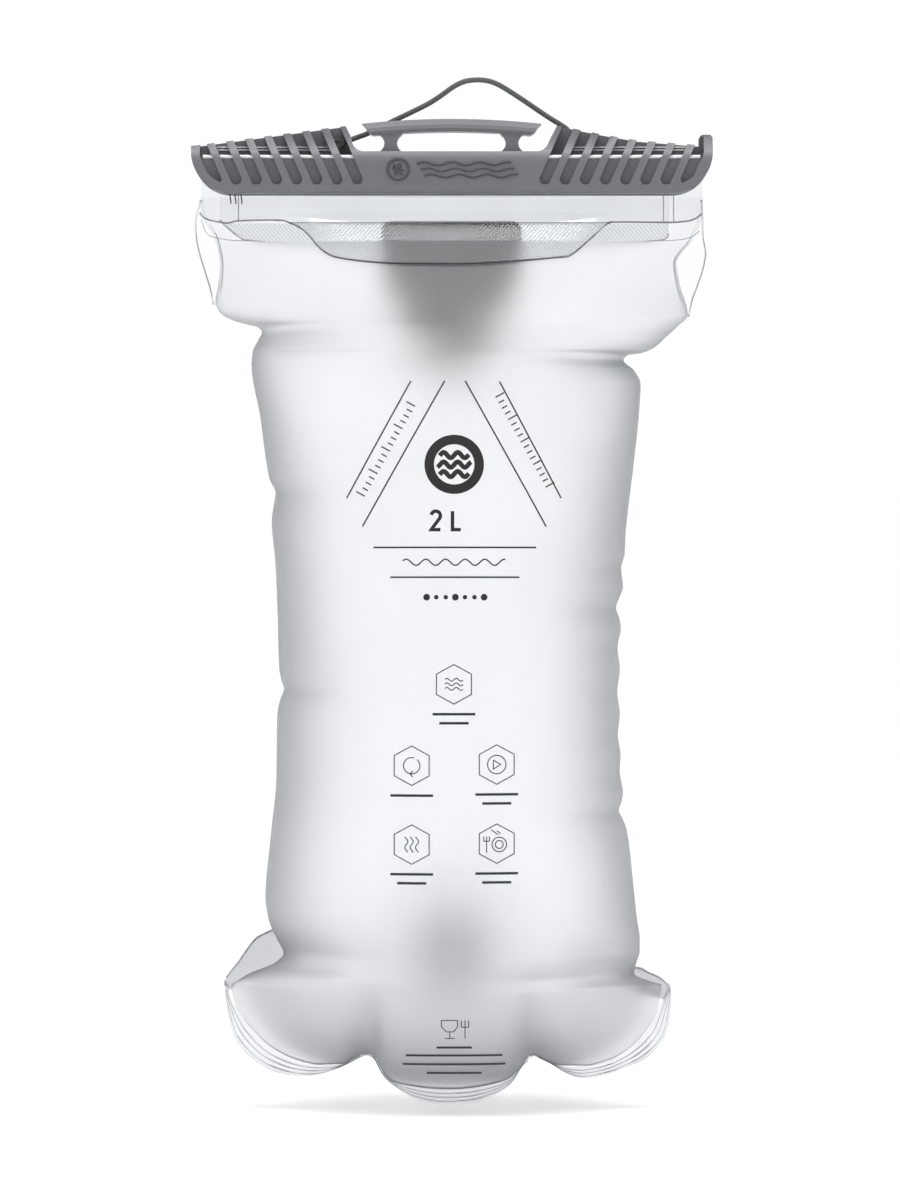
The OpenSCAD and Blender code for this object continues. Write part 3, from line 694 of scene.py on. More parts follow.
def wings():
    """The clear flaps outside the body at both shoulders, each with a round bead at its outer edge, tinted
    grey as painted shade of the outline.
    """
    outer = {-1: [(-2, -91.4), (-6, -92.7), (-10.4, -93.5), (-16.6, -93.1), (-21, -92.2), (-28.6, -89.9),
                  (-35.2, -87.9), (-40, -87)],
             1: [(-2, 91), (-6, 91.3), (-15, 91.6), (-21.3, 92.6), (-26, 91.9), (-32.6, 89.8), (-38.8, 87.5),
                 (-44.4, 86.4)]}
    for turn, name in ((-1, "left_wing"), (1, "right_wing")):
        line = np.array(outer[turn])
        low = line[-1, 0]
        z = np.linspace(line[0, 0], low, 46)
        out = steady_curve(line[::-1, 0], line[::-1, 1], z)
        left, right = edges_at(z)
        near = (left if turn < 0 else right) - turn * 1.2
        share = np.linspace(0, 1, 10)[:, None]
        x = near[None, :] + share * (out - near)[None, :]
        fade = smooth(-4, -20, z) * (1 - smooth(low + 8, low, z))
        bend = 2.2 * np.sin(share * 2.4) * fade[None, :]
        grid_z = np.repeat(z[None, :], 10, 0)
        faces = grid_faces(10, 46)
        if turn > 0:
            faces = faces[:, ::-1]
        piece = new_piece(name, to_frame(x, bend, grid_z), faces, FINISHES["clear"])
        thicken(piece, 0.5, offset=0)
        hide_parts("left_shoulder_weld" if turn < 0 else "right_shoulder_weld")
        # the edge bead's grey tint is painted shade along the flap's outline
        edge = np.stack([x[-1], bend[-1], z], 1)
        points, edge_faces = swept(edge, circle_section(0.38, 10))
        new_piece(name + "_edge", to_frame(*points.T), edge_faces, FINISHES["wing_painted_edge_shade"])


# ---------------------------------------------------------------- the hem

LOBES = [("left", [(-81.4, -287.4), (-80.6, -293), (-76.6, -299.5), (-73, -304), (-66, -310.6), (-57, -315.2),
                   (-48, -317.2), (-40, -317.2), (-34.6, -314.9), (-31.2, -313.2)],
          [(-83.2, -286.4), (-82.8, -291), (-81.6, -299.5), (-79.1, -307.8), (-73.3, -314.7), (-65.3, -319.4),
           (-56.9, -321.4), (-48.9, -321.1), (-40.8, -318.3), (-34.8, -315.6), (-31, -314.2)]),
         ("middle", [(-31.6, -313.4), (-28.4, -314.6), (-25.4, -320), (-22, -323.2), (-15, -324.9),
                     (-7, -325.9), (0, -326.1), (8, -325.5), (16, -323.9), (21.4, -322), (25.4, -318),
                     (29.8, -313.9)],
          [(-31.8, -314), (-28.6, -315.6), (-25.6, -320.9), (-22.2, -324.4), (-15.1, -328.8), (-8, -331.3),
           (0, -332), (8, -331), (16.3, -328), (22.1, -323.8), (25.6, -318.6), (29.8, -314.5)]),
         ("right", [(29.2, -313.6), (34, -315.6), (40, -317.6), (48, -317.8), (57, -315.8), (65, -311),
                    (71, -304.6), (75, -297.4), (77.6, -291.6), (78.4, -287.8)],
          [(29, -314.2), (36.1, -317.2), (41.8, -320.5), (47.7, -322.2), (55.8, -321.2), (63.8, -318.2),
           (70.7, -314.8), (76.6, -309), (79, -303.2), (80, -293.7), (79.6, -287.4)])]
RIDGES = (0.3, 0.55, 0.8)


def hem_depth(x, share):
    """Depth of the hem's middle: back in the valleys, and a slow wave that grows to its outer edge."""
    wave = 0.8 * np.sin(x * 0.23 + 1) + 0.5 * np.sin(x * 0.51)
    return 6.5 * valley_share(x) + share * (wave - 1.4 * valley_share(x))


def hem_band():
    """The welded hem: three lobed bands ruled between an inner and an outer line, each with three fine ridges
    that run along it and sink near its ends."""
    share = np.linspace(0, 1, 46)
    wall = 0.42 + 0.2 * sum(bell(share - r, 0.035) for r in RIDGES)
    wall *= np.sqrt(np.clip(np.minimum(share, 1 - share) / 0.06 + 0.12, 0, 1))
    for n, (label, inner, outer) in enumerate(LOBES):
        a = even_path(inner, 150)
        b = even_path(outer, 150)
        around = np.concatenate([share, share[::-1]])
        thick = np.concatenate([-wall, wall[::-1]])
        x = a[:, :1] + around * (b[:, :1] - a[:, :1])
        z = a[:, 1:] + around * (b[:, 1:] - a[:, 1:])
        y = hem_depth(x, around[None, :]) + thick[None, :] + 0.05 * n
        rings = np.stack([x, y, z], -1)
        rows, cols = x.shape
        faces = grid_faces(rows, cols, closed=True).tolist()
        for end in (0, rows - 1):
            first = end * cols
            last = first + cols - 1
            for k in range(len(share) - 1):
                quad = [first + k, first + k + 1, last - 1 - k, last - k]
                faces.append(quad if end == 0 else quad[::-1])
        flat = rings.reshape(-1, 3)
        piece = new_piece(label + "_hem", to_frame(*flat.T), faces, FINISHES["hem"])
        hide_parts("bottom_weld")
        for k, r in enumerate(RIDGES):
            line = np.stack([a[6:-6, 0] + r * (b - a)[6:-6, 0], hem_depth(a[6:-6, 0], r) - 0.5 + 0.05 * n,
                             a[6:-6, 1] + r * (b - a)[6:-6, 1]], 1)
            points, line_faces = swept(line, circle_section(0.13, 8))
            new_piece("%s_hem_ridge_%d" % (label, k), to_frame(*points.T), line_faces, FINISHES["hem_line"])


def ears():
    """The side seams fold back at the bottom corners: a curved flap of film behind the body on each side,
    from the body's last kink out to the hem's corner."""
    shapes = {-1: ([(-64.5, -268.2), (-69, -270), (-72.6, -272.4), (-78, -279.9), (-82, -285), (-83, -288)],
                   [(-60, -270), (-60.4, -277), (-64, -281.5), (-71, -284.5), (-77.5, -287), (-80.6, -290)]),
              1: ([(62, -282.4), (68.6, -282.4), (72, -284), (75.6, -285.5), (78.6, -288), (79.8, -290.4)],
                  [(60, -286), (64, -289.4), (68, -291), (72, -292), (75, -292.8), (77.4, -293.6)])}
    for turn, (top, low) in shapes.items():
        a = even_path(top, 40)
        b = even_path(low, 40)
        share = np.linspace(0, 1, 14)[:, None]
        x = a[None, :, 0] + share * (b - a)[None, :, 0]
        z = a[None, :, 1] + share * (b - a)[None, :, 1]
        run = np.linspace(0, 1, 41)[None, :]
        y = 9 * (1 - run) ** 1.3 + 3.2 * np.sin(share * math.pi) * (1 - run) + 0.8
        faces = grid_faces(*x.shape)
        if turn > 0:
            faces = faces[:, ::-1]
        name = "left_ear" if turn < 0 else "right_ear"
        piece = new_piece(name, to_frame(x, y, z), faces, FINISHES["fold"])
        thicken(piece, FILM_T, offset=0)
        edge = np.stack([a[:, 0], y[0], a[:, 1]], 1)[:-4]
        points, edge_faces = swept(edge, circle_section(0.42, 10))
        new_piece(name + "_seam", to_frame(*points.T), edge_faces, FINISHES["hem"])


# ---------------------------------------------------------------- printing

class Print:
    """Flat marks gathered in millimetres on the wall's own (across, up) plane and then laid on the wall."""

    def __init__(self):
        self.points = []
        self.faces = []
        self.count = 0

    def add(self, points, faces):
        points = np.asarray(points, float)
        self.points.append(points)
        self.faces += [[i + self.count for i in face] for face in np.asarray(faces).tolist()]
        self.count += len(points)

    def line(self, points, width=0.6, closed=False):
        """A stroke of even width with mitred bends; closed joins its ends."""
        p = np.asarray(points, float)
        if closed:
            p = np.vstack([p, p[:1]])
        cut = []
        for a, b in zip(p[:-1], p[1:]):
            n = max(1, int(np.hypot(*(b - a)) / 1.2))
            cut.append(a + (b - a) * np.linspace(0, 1, n, endpoint=False)[:, None])
        p = np.vstack(cut + [p[-1:]])
        way = np.diff(p, axis=0)
        way /= np.maximum(1e-9, np.linalg.norm(way, axis=1))[:, None]
        first = np.vstack([way[-1:] if closed else way[:1], way])
        last = np.vstack([way, way[:1] if closed else way[-1:]])
        lean = first + last
        lean /= np.maximum(1e-9, np.linalg.norm(lean, axis=1))[:, None]
        reach = 1 / np.maximum(0.5, (lean * first).sum(1))
        side = np.stack([-lean[:, 1], lean[:, 0]], 1) * (reach * width / 2)[:, None]
        both = np.stack([p + side, p - side], 1).reshape(-1, 2)
        self.add(both, grid_faces(len(p), 2))

    def disc(self, centre, radius, inner=0.0, start=0.0, turn=360.0):
        """A filled ring or disc, or a part of one."""
        n = 48
        a = np.radians(start + np.linspace(0, turn, n + 1))
        r = np.linspace(max(inner, 0.02), radius, max(2, int((radius - inner) / 1.2) + 2))[:, None]
        x = centre[0] + r * np.cos(a)
        z = centre[1] + r * np.sin(a)
        self.add(np.stack([x.ravel(), z.ravel()], 1), grid_faces(len(r), n + 1))

    def lay(self, name, side, lift=0.42, mirrored=False, look="ink"):
        points = np.vstack(self.points)
        if mirrored:
            points = points * [-1, 1]
        y = wall_y(side, points[:, 0], points[:, 1], lift)
        way = facing(points, self.faces)
        outward = -1 if side < 0 else 1
        faces = [f if w * -outward > 0 else f[::-1] for f, w in zip(self.faces, way)]
        return new_piece(name, to_frame(points[:, 0], y, points[:, 1]), faces, FINISHES[look])


def facing(points, faces):
    """Sign of each face's area on the (across, up) plane: above 0 it turns from across to up."""
    p = points[np.array(faces)]
    a = p[:, 1] - p[:, 0]
    b = p[:, 2] - p[:, 0]
    return a[:, 0] * b[:, 1] - a[:, 1] * b[:, 0]


def arc(centre, radius, start, end, n=18):
    """Points along a part of a circle, angles in degrees."""
    a = np.radians(np.linspace(start, end, n))
    return np.stack([centre[0] + radius * np.cos(a), centre[1] + radius * np.sin(a)], 1)


def shifted(points, by, size=1.0):
    return np.asarray(points, float) * size + np.asarray(by, float)


DIGITS = {
    "0": [arc((0.5, 1.5), 0.5, 0, 180, 9).tolist() + arc((0.5, 0.5), 0.5, 180, 360, 9).tolist() + [[1, 1.5]]],
    "1": [[(0.2, 1.6), (0.6, 2), (0.6, 0)]],
    "2": [arc((0.5, 1.5), 0.5, 170, -30, 10).tolist() + [(0, 0), (1, 0)]],
    "5": [[(0.95, 2), (0.15, 2), (0.08, 1.15)] + arc((0.45, 0.62), 0.62, 120, -140, 12).tolist()],
    ".": [[(0.4, 0), (0.6, 0)]],
    "L": [[(0.05, 2), (0.05, 0), (0.95, 0)]],
}


def write(marks, text, at, height, weight):
    """Plain digits drawn as strokes, 2 units tall, from the left."""
    size = height / 2
    x = at[0]
    for letter in text:
        if letter in DIGITS:
            for stroke in DIGITS[letter]:
                marks.line(shifted(np.array(stroke) * size, (x, at[1])), weight)
        x += size * (0.75 if letter in ". " else 1.5)


def hexagon(marks, x, z, symbol):
    """An upright hexagon with one plain symbol in it."""
    corners = [(6.2, 3.6), (0, 7), (-6.2, 3.6), (-6.2, -3.6), (0, -7), (6.2, -3.6)]
    marks.line(shifted(corners, (x, z)), 0.38, closed=True)
    for stroke in symbol:
        marks.line(shifted(stroke, (x, z)), 0.38)


SYMBOLS = {
    "waves": [[(u, 0.5 * math.sin(u * 1.9) + h) for u in np.linspace(-3.2, 3.2, 21)] for h in (1.6, 0, -1.6)],
    "loop": [arc((0, 0), 2.9, 70, 290), arc((0, 0), 2.9, -90, 50), [(0.4, -1.8), (-0.6, -2.9), (0.4, -4)]],
    "plug": [arc((0, 0), 3.3, 0, 360), [(-1.2, 1.6), (1.4, 0), (-1.2, -1.6), (-1.2, 1.6)]],
    "heat": [[(h + 0.55 * math.sin(u * 1.5), u) for u in np.linspace(-2.8, 2.8, 19)] for h in (-1.9, 0, 1.9)],
    "rack": [arc((0.9, -0.3), 2.6, 0, 360), arc((0.9, -0.3), 1.4, 0, 360), [(-3.6, 2.6), (-3.6, -3.2)],
             [(-4.6, 2.6), (-4.6, 0.9), (-2.6, 0.9), (-2.6, 2.6)], [(0, 4.6), (1.4, 3.6)],
             [(-2, 5), (0.6, 3.1)]],
}


def front_print():
    """Lines, a round water mark, the volume and five hexagon symbols on the front."""
    marks = Print()
    for a, b in (((-14.7, -69.4), (-37.6, -111.4)), ((-2.6, -69.4), (-31.9, -121.6)),
                 ((4.7, -69.4), (33.6, -121.6)), ((17, -69.6), (39, -111.4))):
        marks.line([a, b], 0.55)
    for start, way, count in (((-30.6, -114.5), (0.4865, 0.8737), 17), ((33, -111.2), (-0.4865, 0.8737), 17)):
        for k in range(count):
            long = 3.6 if k % 4 == 0 else 2.2
            base = np.array(start) + np.array(way) * (3 + 2.3 * k)
            across = np.array([-way[1], way[0]]) if way[0] > 0 else np.array([way[1], -way[0]])
            marks.line([base + across * 2.2, base + across * (2.2 + long)], 0.5)
    marks.disc((0.8, -99.5), 10.6, 7.2)
    for k, h in enumerate((-96.2, -99.6, -103)):
        half = (5.2, 6, 5.2)[k]
        marks.line([(0.8 + u, h + 1.0 * math.sin(u * 1.25)) for u in np.linspace(-half, half, 27)], 1.7)
    write(marks, "2 L", (-7.4, -122.8), 6.6, 1.25)
    marks.line([(-28, -129.1), (30, -129.1)], 0.6)
    marks.line([(-22, -139.7), (24, -139.7)], 0.6)
    marks.line([(u, -134.4 + 1.1 * math.sin((u + 18) * 0.9)) for u in np.linspace(-17.5, 19, 90)], 0.5)
    for k in range(7):
        marks.disc((-9 + 3.4 * k, -146.8), 0.8 if k % 3 else 1.2)
    for x, z, label in ((0.7, -177.7, "waves"), (-14.3, -206.6, "loop"), (15.9, -206.2, "plug"),
                        (-14.3, -234.6, "heat"), (15.9, -234.3, "rack")):
        hexagon(marks, x, z, SYMBOLS[label])
        marks.line([(x - 7.6, z - 10.6), (x + 7.6, z - 10.6)], 0.9)
        if label != "loop":
            marks.line([(x - 5.2, z - 13.8), (x + 5.2, z - 13.8)], 0.9)
    foot = [[(-4.2, -298.6), (-4.2, -301), (-2.4, -303), (0.2, -303), (1.6, -301), (1.6, -298.6),
             (-4.2, -298.6)],
            [(-1.2, -303), (-1.2, -305.6)], [(-3, -305.6), (0.6, -305.6)], [(3, -298.6), (3, -301.2)],
            [(4.3, -298.6), (4.3, -305.6)], [(5.6, -298.6), (5.6, -301.2)], [(3, -301.2), (5.6, -301.2)]]
    for stroke in foot:
        marks.line(shifted(stroke, (0.4, 0)), 0.34)
    for half, z in ((6.4, -309.2), (17.5, -312.4), (18.6, -316)):
        marks.line([(u + 0.8, z) for u in np.linspace(-half, half, 24)], 0.85)
    marks.line([(u + 0.8, -319.6) for u in np.linspace(-10, 10, 12)], 0.85)
    return marks.lay("front_printing", -1)


def rear_print():
    """The filling scale on the rear wall: ticks and volumes, reading right from behind."""
    marks = Print()
    for k in range(18):
        z = -72 - 4.9 * k
        long = 8 if k % 4 == 0 else 4.4
        marks.line([(-56, z), (-56 + long, z)], 0.9)
    for k, text in enumerate(("2", "1.5", "1", "0.5")):
        write(marks, text, (-45.5, -73.8 - 19.6 * k), 4.4, 0.8)
    return marks.lay("rear_scale", 1, mirrored=True)


# ---------------------------------------------------------------- rear tab, cord and bar

TAB_TOP = -9.4
TAB_LONG = 53.1


def rear_tab():
    """A tapering tab hanging from the rear strip: rounded outline, raised rim and five grip ribs."""
    rows = 90
    cols = 64
    down = np.linspace(0, 1, rows)
    z = TAB_TOP - TAB_LONG * down
    half = 25.6 - 13.4 * smooth(-24, -62, z)
    round_low = np.sqrt(np.clip(1 - np.clip((-52.5 - z) / 10.2, 0, 1) ** 2, 0.0, 1))
    round_top = np.sqrt(np.clip(1 - np.clip((z + 13) / 3.7, 0, 1) ** 2, 0.0, 1))
    half = half * np.maximum(0.03, 0.35 + 0.65 * round_low) * (0.85 + 0.15 * round_top)
    across = np.linspace(-1, 1, cols)
    x = half[:, None] * across[None, :]
    grid_z = np.repeat(z[:, None], cols, 1)
    from_end = np.minimum(z - (TAB_TOP - TAB_LONG), TAB_TOP - z)
    edge = np.minimum((1 - np.abs(across))[None, :] * half[:, None], from_end[:, None])
    rise = 2.5 * np.sqrt(np.clip(edge / 1.6, 0, 1)) - 0.8 * smooth(3.2, 4.4, edge)
    for level in (-34, -39, -44, -49, -54):
        rise += 0.9 * bell(grid_z - level, 1.1) * smooth(4, 6, edge)
    y = wall_y(1, x, grid_z, 1.5) + rise
    faces = grid_faces(rows, cols)
    piece = new_piece("rear_tab_shell", to_frame(x, y, grid_z), faces, FINISHES["tab"])
    thicken(piece, 1.4)
    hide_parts("rear_fill_handle")


CORD_D = 1.9
CORD_ROUTE = [(-40.2, 0, 18.8), (-38, 0.9, 19.7), (-35.8, 1.8, 20.6), (-33.8, 3.8, 21.5), (-31.2, 5.6, 22.6),
              (-27, 6.3, 24.6), (-22, 6.3, 27.2), (-15, 5.8, 30.5), (-8, 4.7, 33.9), (-3, 3.2, 37.1),
              (1, 1.7, 39.9), (5, 0.5, 41.6), (9, 0, 41.9), (13, 0.2, 41.7), (17, 1.3, 40.3), (21, 2.7, 38),
              (26, 4.2, 34.9), (31, 5.4, 31.6), (36, 6.1, 28.3), (40, 6, 25.9), (42.4, 5.4, 23.9),
              (43, 5, 21.5), (43, 5, 18.5)]


def eased(path, rounds):
    """Evens out the bends of a path, each point drawn to the middle of its neighbours. The ends are kept, and
    the points near them give way less."""
    path = path.copy()
    n = len(path)
    give = 0.5 * smooth(0.05, 0.2, np.minimum(np.arange(n), n - 1 - np.arange(n)) / n)[:, None]
    for _ in range(rounds):
        pull = np.zeros_like(path)
        pull[1:-1] = (path[:-2] + path[2:]) / 2 - path[1:-1]
        path += give * pull
    return path


def cord_knot():
    """The cord's left end: a trefoil knot, (sin t + 2 sin 2t, cos t - 2 cos 2t, -sin 3t) scaled."""
    t = np.linspace(0, 2 * math.pi, 161)
    size = 0.5
    centre = np.array([-40.9, 0.2, 18.6])
    x = centre[0] + size * (np.sin(t) + 2 * np.sin(2 * t))
    z = centre[2] + 1.15 * size * (np.cos(t) - 2 * np.cos(2 * t))
    y = centre[1] - 0.9 * size * np.sin(3 * t)
    path = np.stack([x, y, z], 1)
    way = np.roll(path[:-1], -1, 0) - np.roll(path[:-1], 1, 0)
    way /= np.linalg.norm(way, axis=1)[:, None]
    out = path[:-1] - centre
    side = np.cross(way, out)
    side /= np.linalg.norm(side, axis=1)[:, None]
    rise = np.cross(side, way)
    a = np.linspace(0, 2 * math.pi, 14, endpoint=False)
    r = CORD_D / 2
    rings = path[:-1, None] + r * (np.cos(a)[None, :, None] * rise[:, None]
                                   + np.sin(a)[None, :, None] * side[:, None])
    rows = np.vstack([rings, rings[:1]])
    n, k = rows.shape[:2]
    faces = grid_faces(n, k, closed=True)
    faces = np.where(faces >= (n - 1) * k, faces - (n - 1) * k, faces)
    points = rings.reshape(-1, 3)
    uv = np.zeros((len(points), 2))
    uv[:, 0] = np.repeat(np.arange(n - 1) * 0.25, k)
    uv[:, 1] = np.tile(a * r, n - 1)
    piece = new_piece("cord_knot", to_frame(*points.T), faces, FINISHES["cord"], body="slide_bar",
                      uv=uv)
    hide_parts("cord_stop_left")


def bar_details():
    """Fine light-coloured lines along the back of the slots, painted highlights where the slots' ledges catch
    the light, and the raised mark on the bar's middle.
    """
    # painted highlight: light-coloured tubes where the ledges behind the slots catch the light
    for n, (start, end) in enumerate(((-86, -43.5), (43.5, 86))):
        for k, z in enumerate((16.4, 17.4)):
            path = np.stack([np.linspace(start, end, 30), np.full(30, 2.08), np.full(30, z)], 1)
            points, faces = swept(path, circle_section(0.26, 10))
            new_piece("slot_painted_highlight_%d_%d" % (n, k), to_frame(*points.T), faces, FINISHES["painted_highlight_line"],
                      body="slide_bar")
    marks = Print()
    marks.disc((-19.6, 8.8), 4.3, 3.2)
    for h, half in ((10.2, 1.6), (8.7, 2.1), (7.2, 1.6)):
        marks.line([(-19.6 + u, h + 0.35 * math.sin(u * 3)) for u in np.linspace(-half, half, 21)], 0.75)
    for row, z in enumerate((10.9, 8.7, 6.5)):
        start = -12.6 + 1.3 * row
        run = np.linspace(start, start + 34, 120)
        marks.line([(u, z + 0.55 * math.sin((u - start) * 0.62)) for u in run], 1.0)
    points = np.vstack(marks.points)
    front = BAR_LOW.y / MM
    way = facing(points, marks.faces)
    faces = [f if w > 0 else f[::-1] for f, w in zip(marks.faces, way)]
    placed = to_frame(points[:, 0], np.full(len(points), front - 0.28), points[:, 1])
    piece = new_piece("bar_mark", placed, faces, FINISHES["mark"], body="slide_bar")
    thicken(piece, 0.5)


def cord():
    """The hanging cord as a round braid along its route, both ends held in the bar."""
    path = eased(even_path(CORD_ROUTE, 340), 90)
    run = np.concatenate([[0], np.cumsum(np.linalg.norm(np.diff(path, axis=0), axis=1))])
    n = 20
    a = np.linspace(0, 2 * math.pi, n, endpoint=False)
    along = run[:, None] * 4.2
    weave = 1 + 0.035 * np.sin(along + 4 * a[None, :]) * np.sin(along - 4 * a[None, :])
    way = np.gradient(path, axis=0)
    way /= np.linalg.norm(way, axis=1)[:, None]
    side = np.cross(way, [0, 1, 0])
    side /= np.linalg.norm(side, axis=1)[:, None]
    rise = np.cross(side, way)
    r = CORD_D / 2 * weave
    rings = (path[:, None] + (r * np.cos(a))[:, :, None] * rise[:, None]
             + (r * np.sin(a))[:, :, None] * side[:, None])
    k = len(path)
    points = np.vstack([rings.reshape(-1, 3), path[:1], path[-1:]])
    faces = tube_faces(k, n)
    uv = np.zeros((len(points), 2))
    uv[:k * n, 0] = np.repeat(run, n)
    uv[:k * n, 1] = np.tile(np.minimum(a, 2 * math.pi - a) * CORD_D / 2, k)
    piece = new_piece("cord_braid", to_frame(*points.T), faces, FINISHES["cord"], body="slide_bar",
                      uv=uv)
    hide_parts("hang_cord")
    line = to_frame(*path[::4].T)
    return piece


def bevelled(name, look, width, body, flatten=0.6, segments=2, round_from=28, pressed=None):
    """A finished copy of a hard CAD shape: joined points, flat faces cleared of their triangles, and every
    edge sharper than round_from degrees rounded. pressed = (low, high, y) moves the points inside a box onto
    the plane y, which clears fine ridges that are separate pieces here."""
    source = NODES[name]
    work = bmesh.new()
    work.from_mesh(source.data)
    bmesh.ops.remove_doubles(work, verts=work.verts, dist=0.000005)
    for vert in work.verts:
        if pressed and all(pressed[0][k] < vert.co[k] < pressed[1][k] for k in range(3)):
            vert.co.y = pressed[2]
    bmesh.ops.remove_doubles(work, verts=work.verts, dist=0.00002)
    bmesh.ops.dissolve_degenerate(work, edges=work.edges, dist=0.00001)
    bmesh.ops.dissolve_limit(work, angle_limit=math.radians(flatten), verts=work.verts, edges=work.edges)
    weight = work.edges.layers.float.new("bevel_weight_edge")
    for edge in work.edges:
        sharp = len(edge.link_faces) == 2 and edge.calc_face_angle(0) > math.radians(round_from)
        edge[weight] = 1.0 if sharp else 0.0
    mesh = bpy.data.meshes.new(name + "_finish")
    work.to_mesh(mesh)
    work.free()
    mesh.materials.clear()
    mesh.materials.append(FINISHES[look])
    piece = bpy.data.objects.new(name + "_finish", mesh)
    bpy.context.scene.collection.objects.link(piece)
    mesh.polygons.foreach_set("use_smooth", [True] * len(mesh.polygons))
    mesh.set_sharp_from_angle(angle=math.radians(32))
    add_modifier(piece, "BEVEL", width=width * MM, segments=segments, limit_method="WEIGHT",
                 use_clamp_overlap=True, harden_normals=True)
    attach(piece, body)
    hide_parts(name)
    return piece


def coil(joint_name, r, wire, length, turns):
    """A spring's wire: a circle carried along a screw line that starts at the spring's fixed end."""
    joint = next(j for j in frame["record"]["behaviour"]["joints"] if j["name"] == joint_name)
    held = joint["deforming_nodes"][0]
    fixed = np.array(held["fixed_end_m"])
    along = -np.array(joint["axis"], float)
    across = np.array([1.0, 0.0, 0.0])
    third = np.cross(along, across)
    t = np.linspace(0, 1, turns * 24 + 1)[:, None]
    a = 2 * math.pi * turns * t
    rise = (wire + (length - 2 * wire) * t) * along
    line = fixed + MM * (rise + r * (np.cos(a) * across + np.sin(a) * third))
    points, faces = swept(line, circle_section(wire * MM, 8), up=along)
    piece = new_piece(held["node"] + "_wire", points, faces, FINISHES["spring"])
    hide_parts(held["node"])
    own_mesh(piece)


def springs():
    """The two springs inside the port."""
    coil("poppet_push", 2.9, 0.3, 7.3, 5)
    coil("button_press", 1.0, 0.2, 3.6, 3)


def main():
    """Every piece of the bladder."""
    film(-1)
    film(1)
    strip(-1, "front_strip", FRONT_LINE, -0.8, "front_hatch")
    strip(1, "rear_strip", REAR_LINE, -0.8, "rear_hatch")
    clear_lines()
    wings()
    hem_band()
    ears()
    front_print()
    rear_print()
    rear_tab()
    cord()
    cord_knot()
    bar_details()
    bevelled("port_body", "port", 0.25, "reservoir")
    bevelled("release_button", "button", 0.2, "release_button")
    ridges = ((-1, 1.6 * MM, (BAR_Z + 16) * MM), (1, 1.9 * MM, (BAR_Z + 17.8) * MM), 2.2 * MM)
    bevelled("slide_bar", "bar", 0.45, "slide_bar", segments=3, pressed=ridges)
    bevelled("handle_grip", "grip", 0.3, "slide_bar")
    springs()


# ---------------------------------------------------------------- stage

def camera():
    """A long lens level with the bag's middle, square to its front."""
    view_h = 0.4376
    away = 2.0
    data = bpy.data.cameras.new("camera")
    data.sensor_fit = "VERTICAL"
    data.sensor_height = 36
    data.lens = 36 * away / view_h
    made = bpy.data.objects.new("camera", data)
    made.location = ((BAR_X - 0.7) * MM, -away, (BAR_Z - 147.8) * MM)
    made.rotation_euler = (math.pi / 2, 0, 0)
    bpy.context.scene.collection.objects.link(made)
    bpy.context.scene.camera = made


def area_light(name, place, aim, size, power):
    """A soft box at a place, turned towards a point."""
    data = bpy.data.lights.new(name, "AREA")
    data.shape = "RECTANGLE"
    data.size = size[0]
    data.size_y = size[1]
    data.energy = power
    made = bpy.data.objects.new(name, data)
    made.location = place
    way = np.array(aim, float) - np.array(place, float)
    tip = math.acos(-way[2] / np.linalg.norm(way))
    made.rotation_euler = (tip, 0, math.atan2(way[1], way[0]) - math.pi / 2)
    bpy.context.scene.collection.objects.link(made)


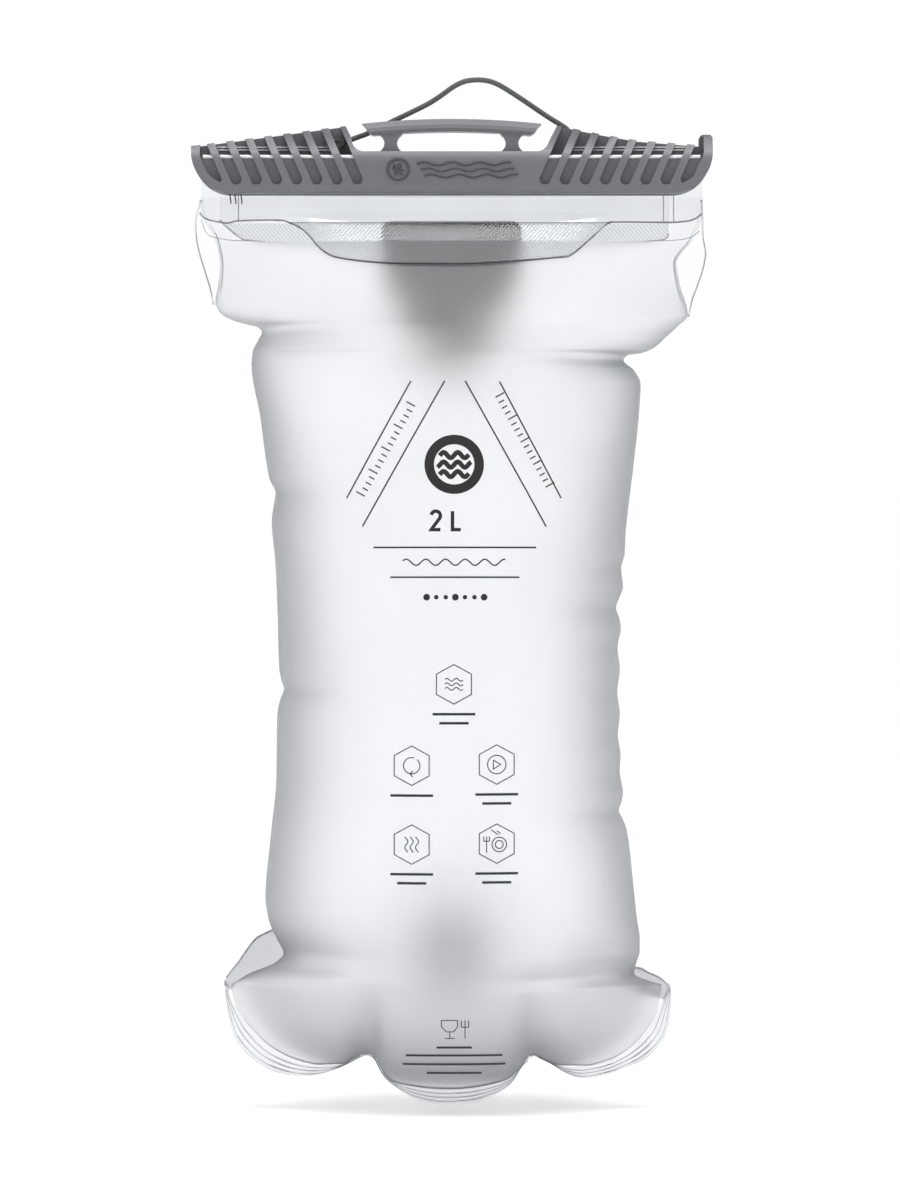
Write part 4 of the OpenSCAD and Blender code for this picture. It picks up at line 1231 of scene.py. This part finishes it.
def backdrop():
    """A white sweep: level floor under the bag that curves up into a wall behind it."""
    floor_z = cad_box[0][2] - 0.0015
    profile = [(-5, floor_z), (3.2, floor_z)]
    turn = np.linspace(-math.pi / 2, 0, 16)
    profile += [(3.2 + 0.6 * math.cos(a), floor_z + 0.6 + 0.6 * math.sin(a)) for a in turn]
    profile += [(3.8, 4.5)]
    profile = np.array(profile)
    xs = np.linspace(-5, 5, 3)
    points = [(x, y, z) for y, z in profile for x in xs]
    mesh = bpy.data.meshes.new("backdrop")
    mesh.from_pydata(points, [], grid_faces(len(profile), 3).tolist())
    mesh.polygons.foreach_set("use_smooth", [True] * len(mesh.polygons))
    made = material("backdrop_white", (0.93, 0.93, 0.93), 0.9, Specular_IOR_Level=0.1)
    shader = shader_of(made)
    place = node(made, "ShaderNodeTexCoord")
    parts = node(made, "ShaderNodeSeparateXYZ")
    link(made, place.outputs["Object"], parts.inputs[0])
    glow = ramp(made, parts.outputs["Y"], 0.12, 0.7, 0.23, 1.0)
    white = ramp(made, parts.outputs["Y"], 0.12, 0.7, 0.93, 0.03)
    base = node(made, "ShaderNodeCombineColor")
    for channel in ("Red", "Green", "Blue"):
        link(made, white, base.inputs[channel])
    link(made, base.outputs["Color"], shader.inputs["Base Color"])
    tone = node(made, "ShaderNodeCombineColor")
    for channel in ("Red", "Green", "Blue"):
        link(made, glow, tone.inputs[channel])
    link(made, tone.outputs["Color"], shader.inputs["Emission Color"])
    shader.inputs["Emission Strength"].default_value = 1.0
    mesh.materials.append(made)
    sweep = bpy.data.objects.new("backdrop", mesh)
    bpy.context.scene.collection.objects.link(sweep)


def studio():
    """White surroundings with a soft box on each side and one above."""
    world = bpy.data.worlds.new("studio")
    bpy.context.scene.world = world
    world.use_nodes = True
    world.node_tree.nodes["Background"].inputs["Color"].default_value = (1, 1, 1, 1)
    world.node_tree.nodes["Background"].inputs["Strength"].default_value = 0.42
    centre = (BAR_X * MM, 0, -0.18)
    area_light("left_box", (-1.3, -0.5, 0.3), centre, (0.8, 1.4), 7)
    area_light("right_box", (1.3, -0.6, 0.2), centre, (0.8, 1.4), 6)
    area_light("top_box", (0, -0.38, 1.25), centre, (1.2, 0.8), 20)


def dress_cad():
    """Gives every shown CAD node its finish."""
    looks = {"cord_stop_right": "port", "front_rail": "rail", "rear_rail": "rail",
             "front_seal_bead": "bead", "rear_seal_bead": "bead", "port_flange": "flange",
             "port_oring": "rubber", "valve_cage": "valve", "valve_poppet": "valve", "poppet_seal": "rubber"}
    for name, look in looks.items():
        cad = NODES[name]
        cad.data.materials.clear()
        cad.data.materials.append(FINISHES[look])


camera()
dress_cad()
main()
backdrop()
studio()
bpy.context.scene.view_settings.view_transform = "Standard"
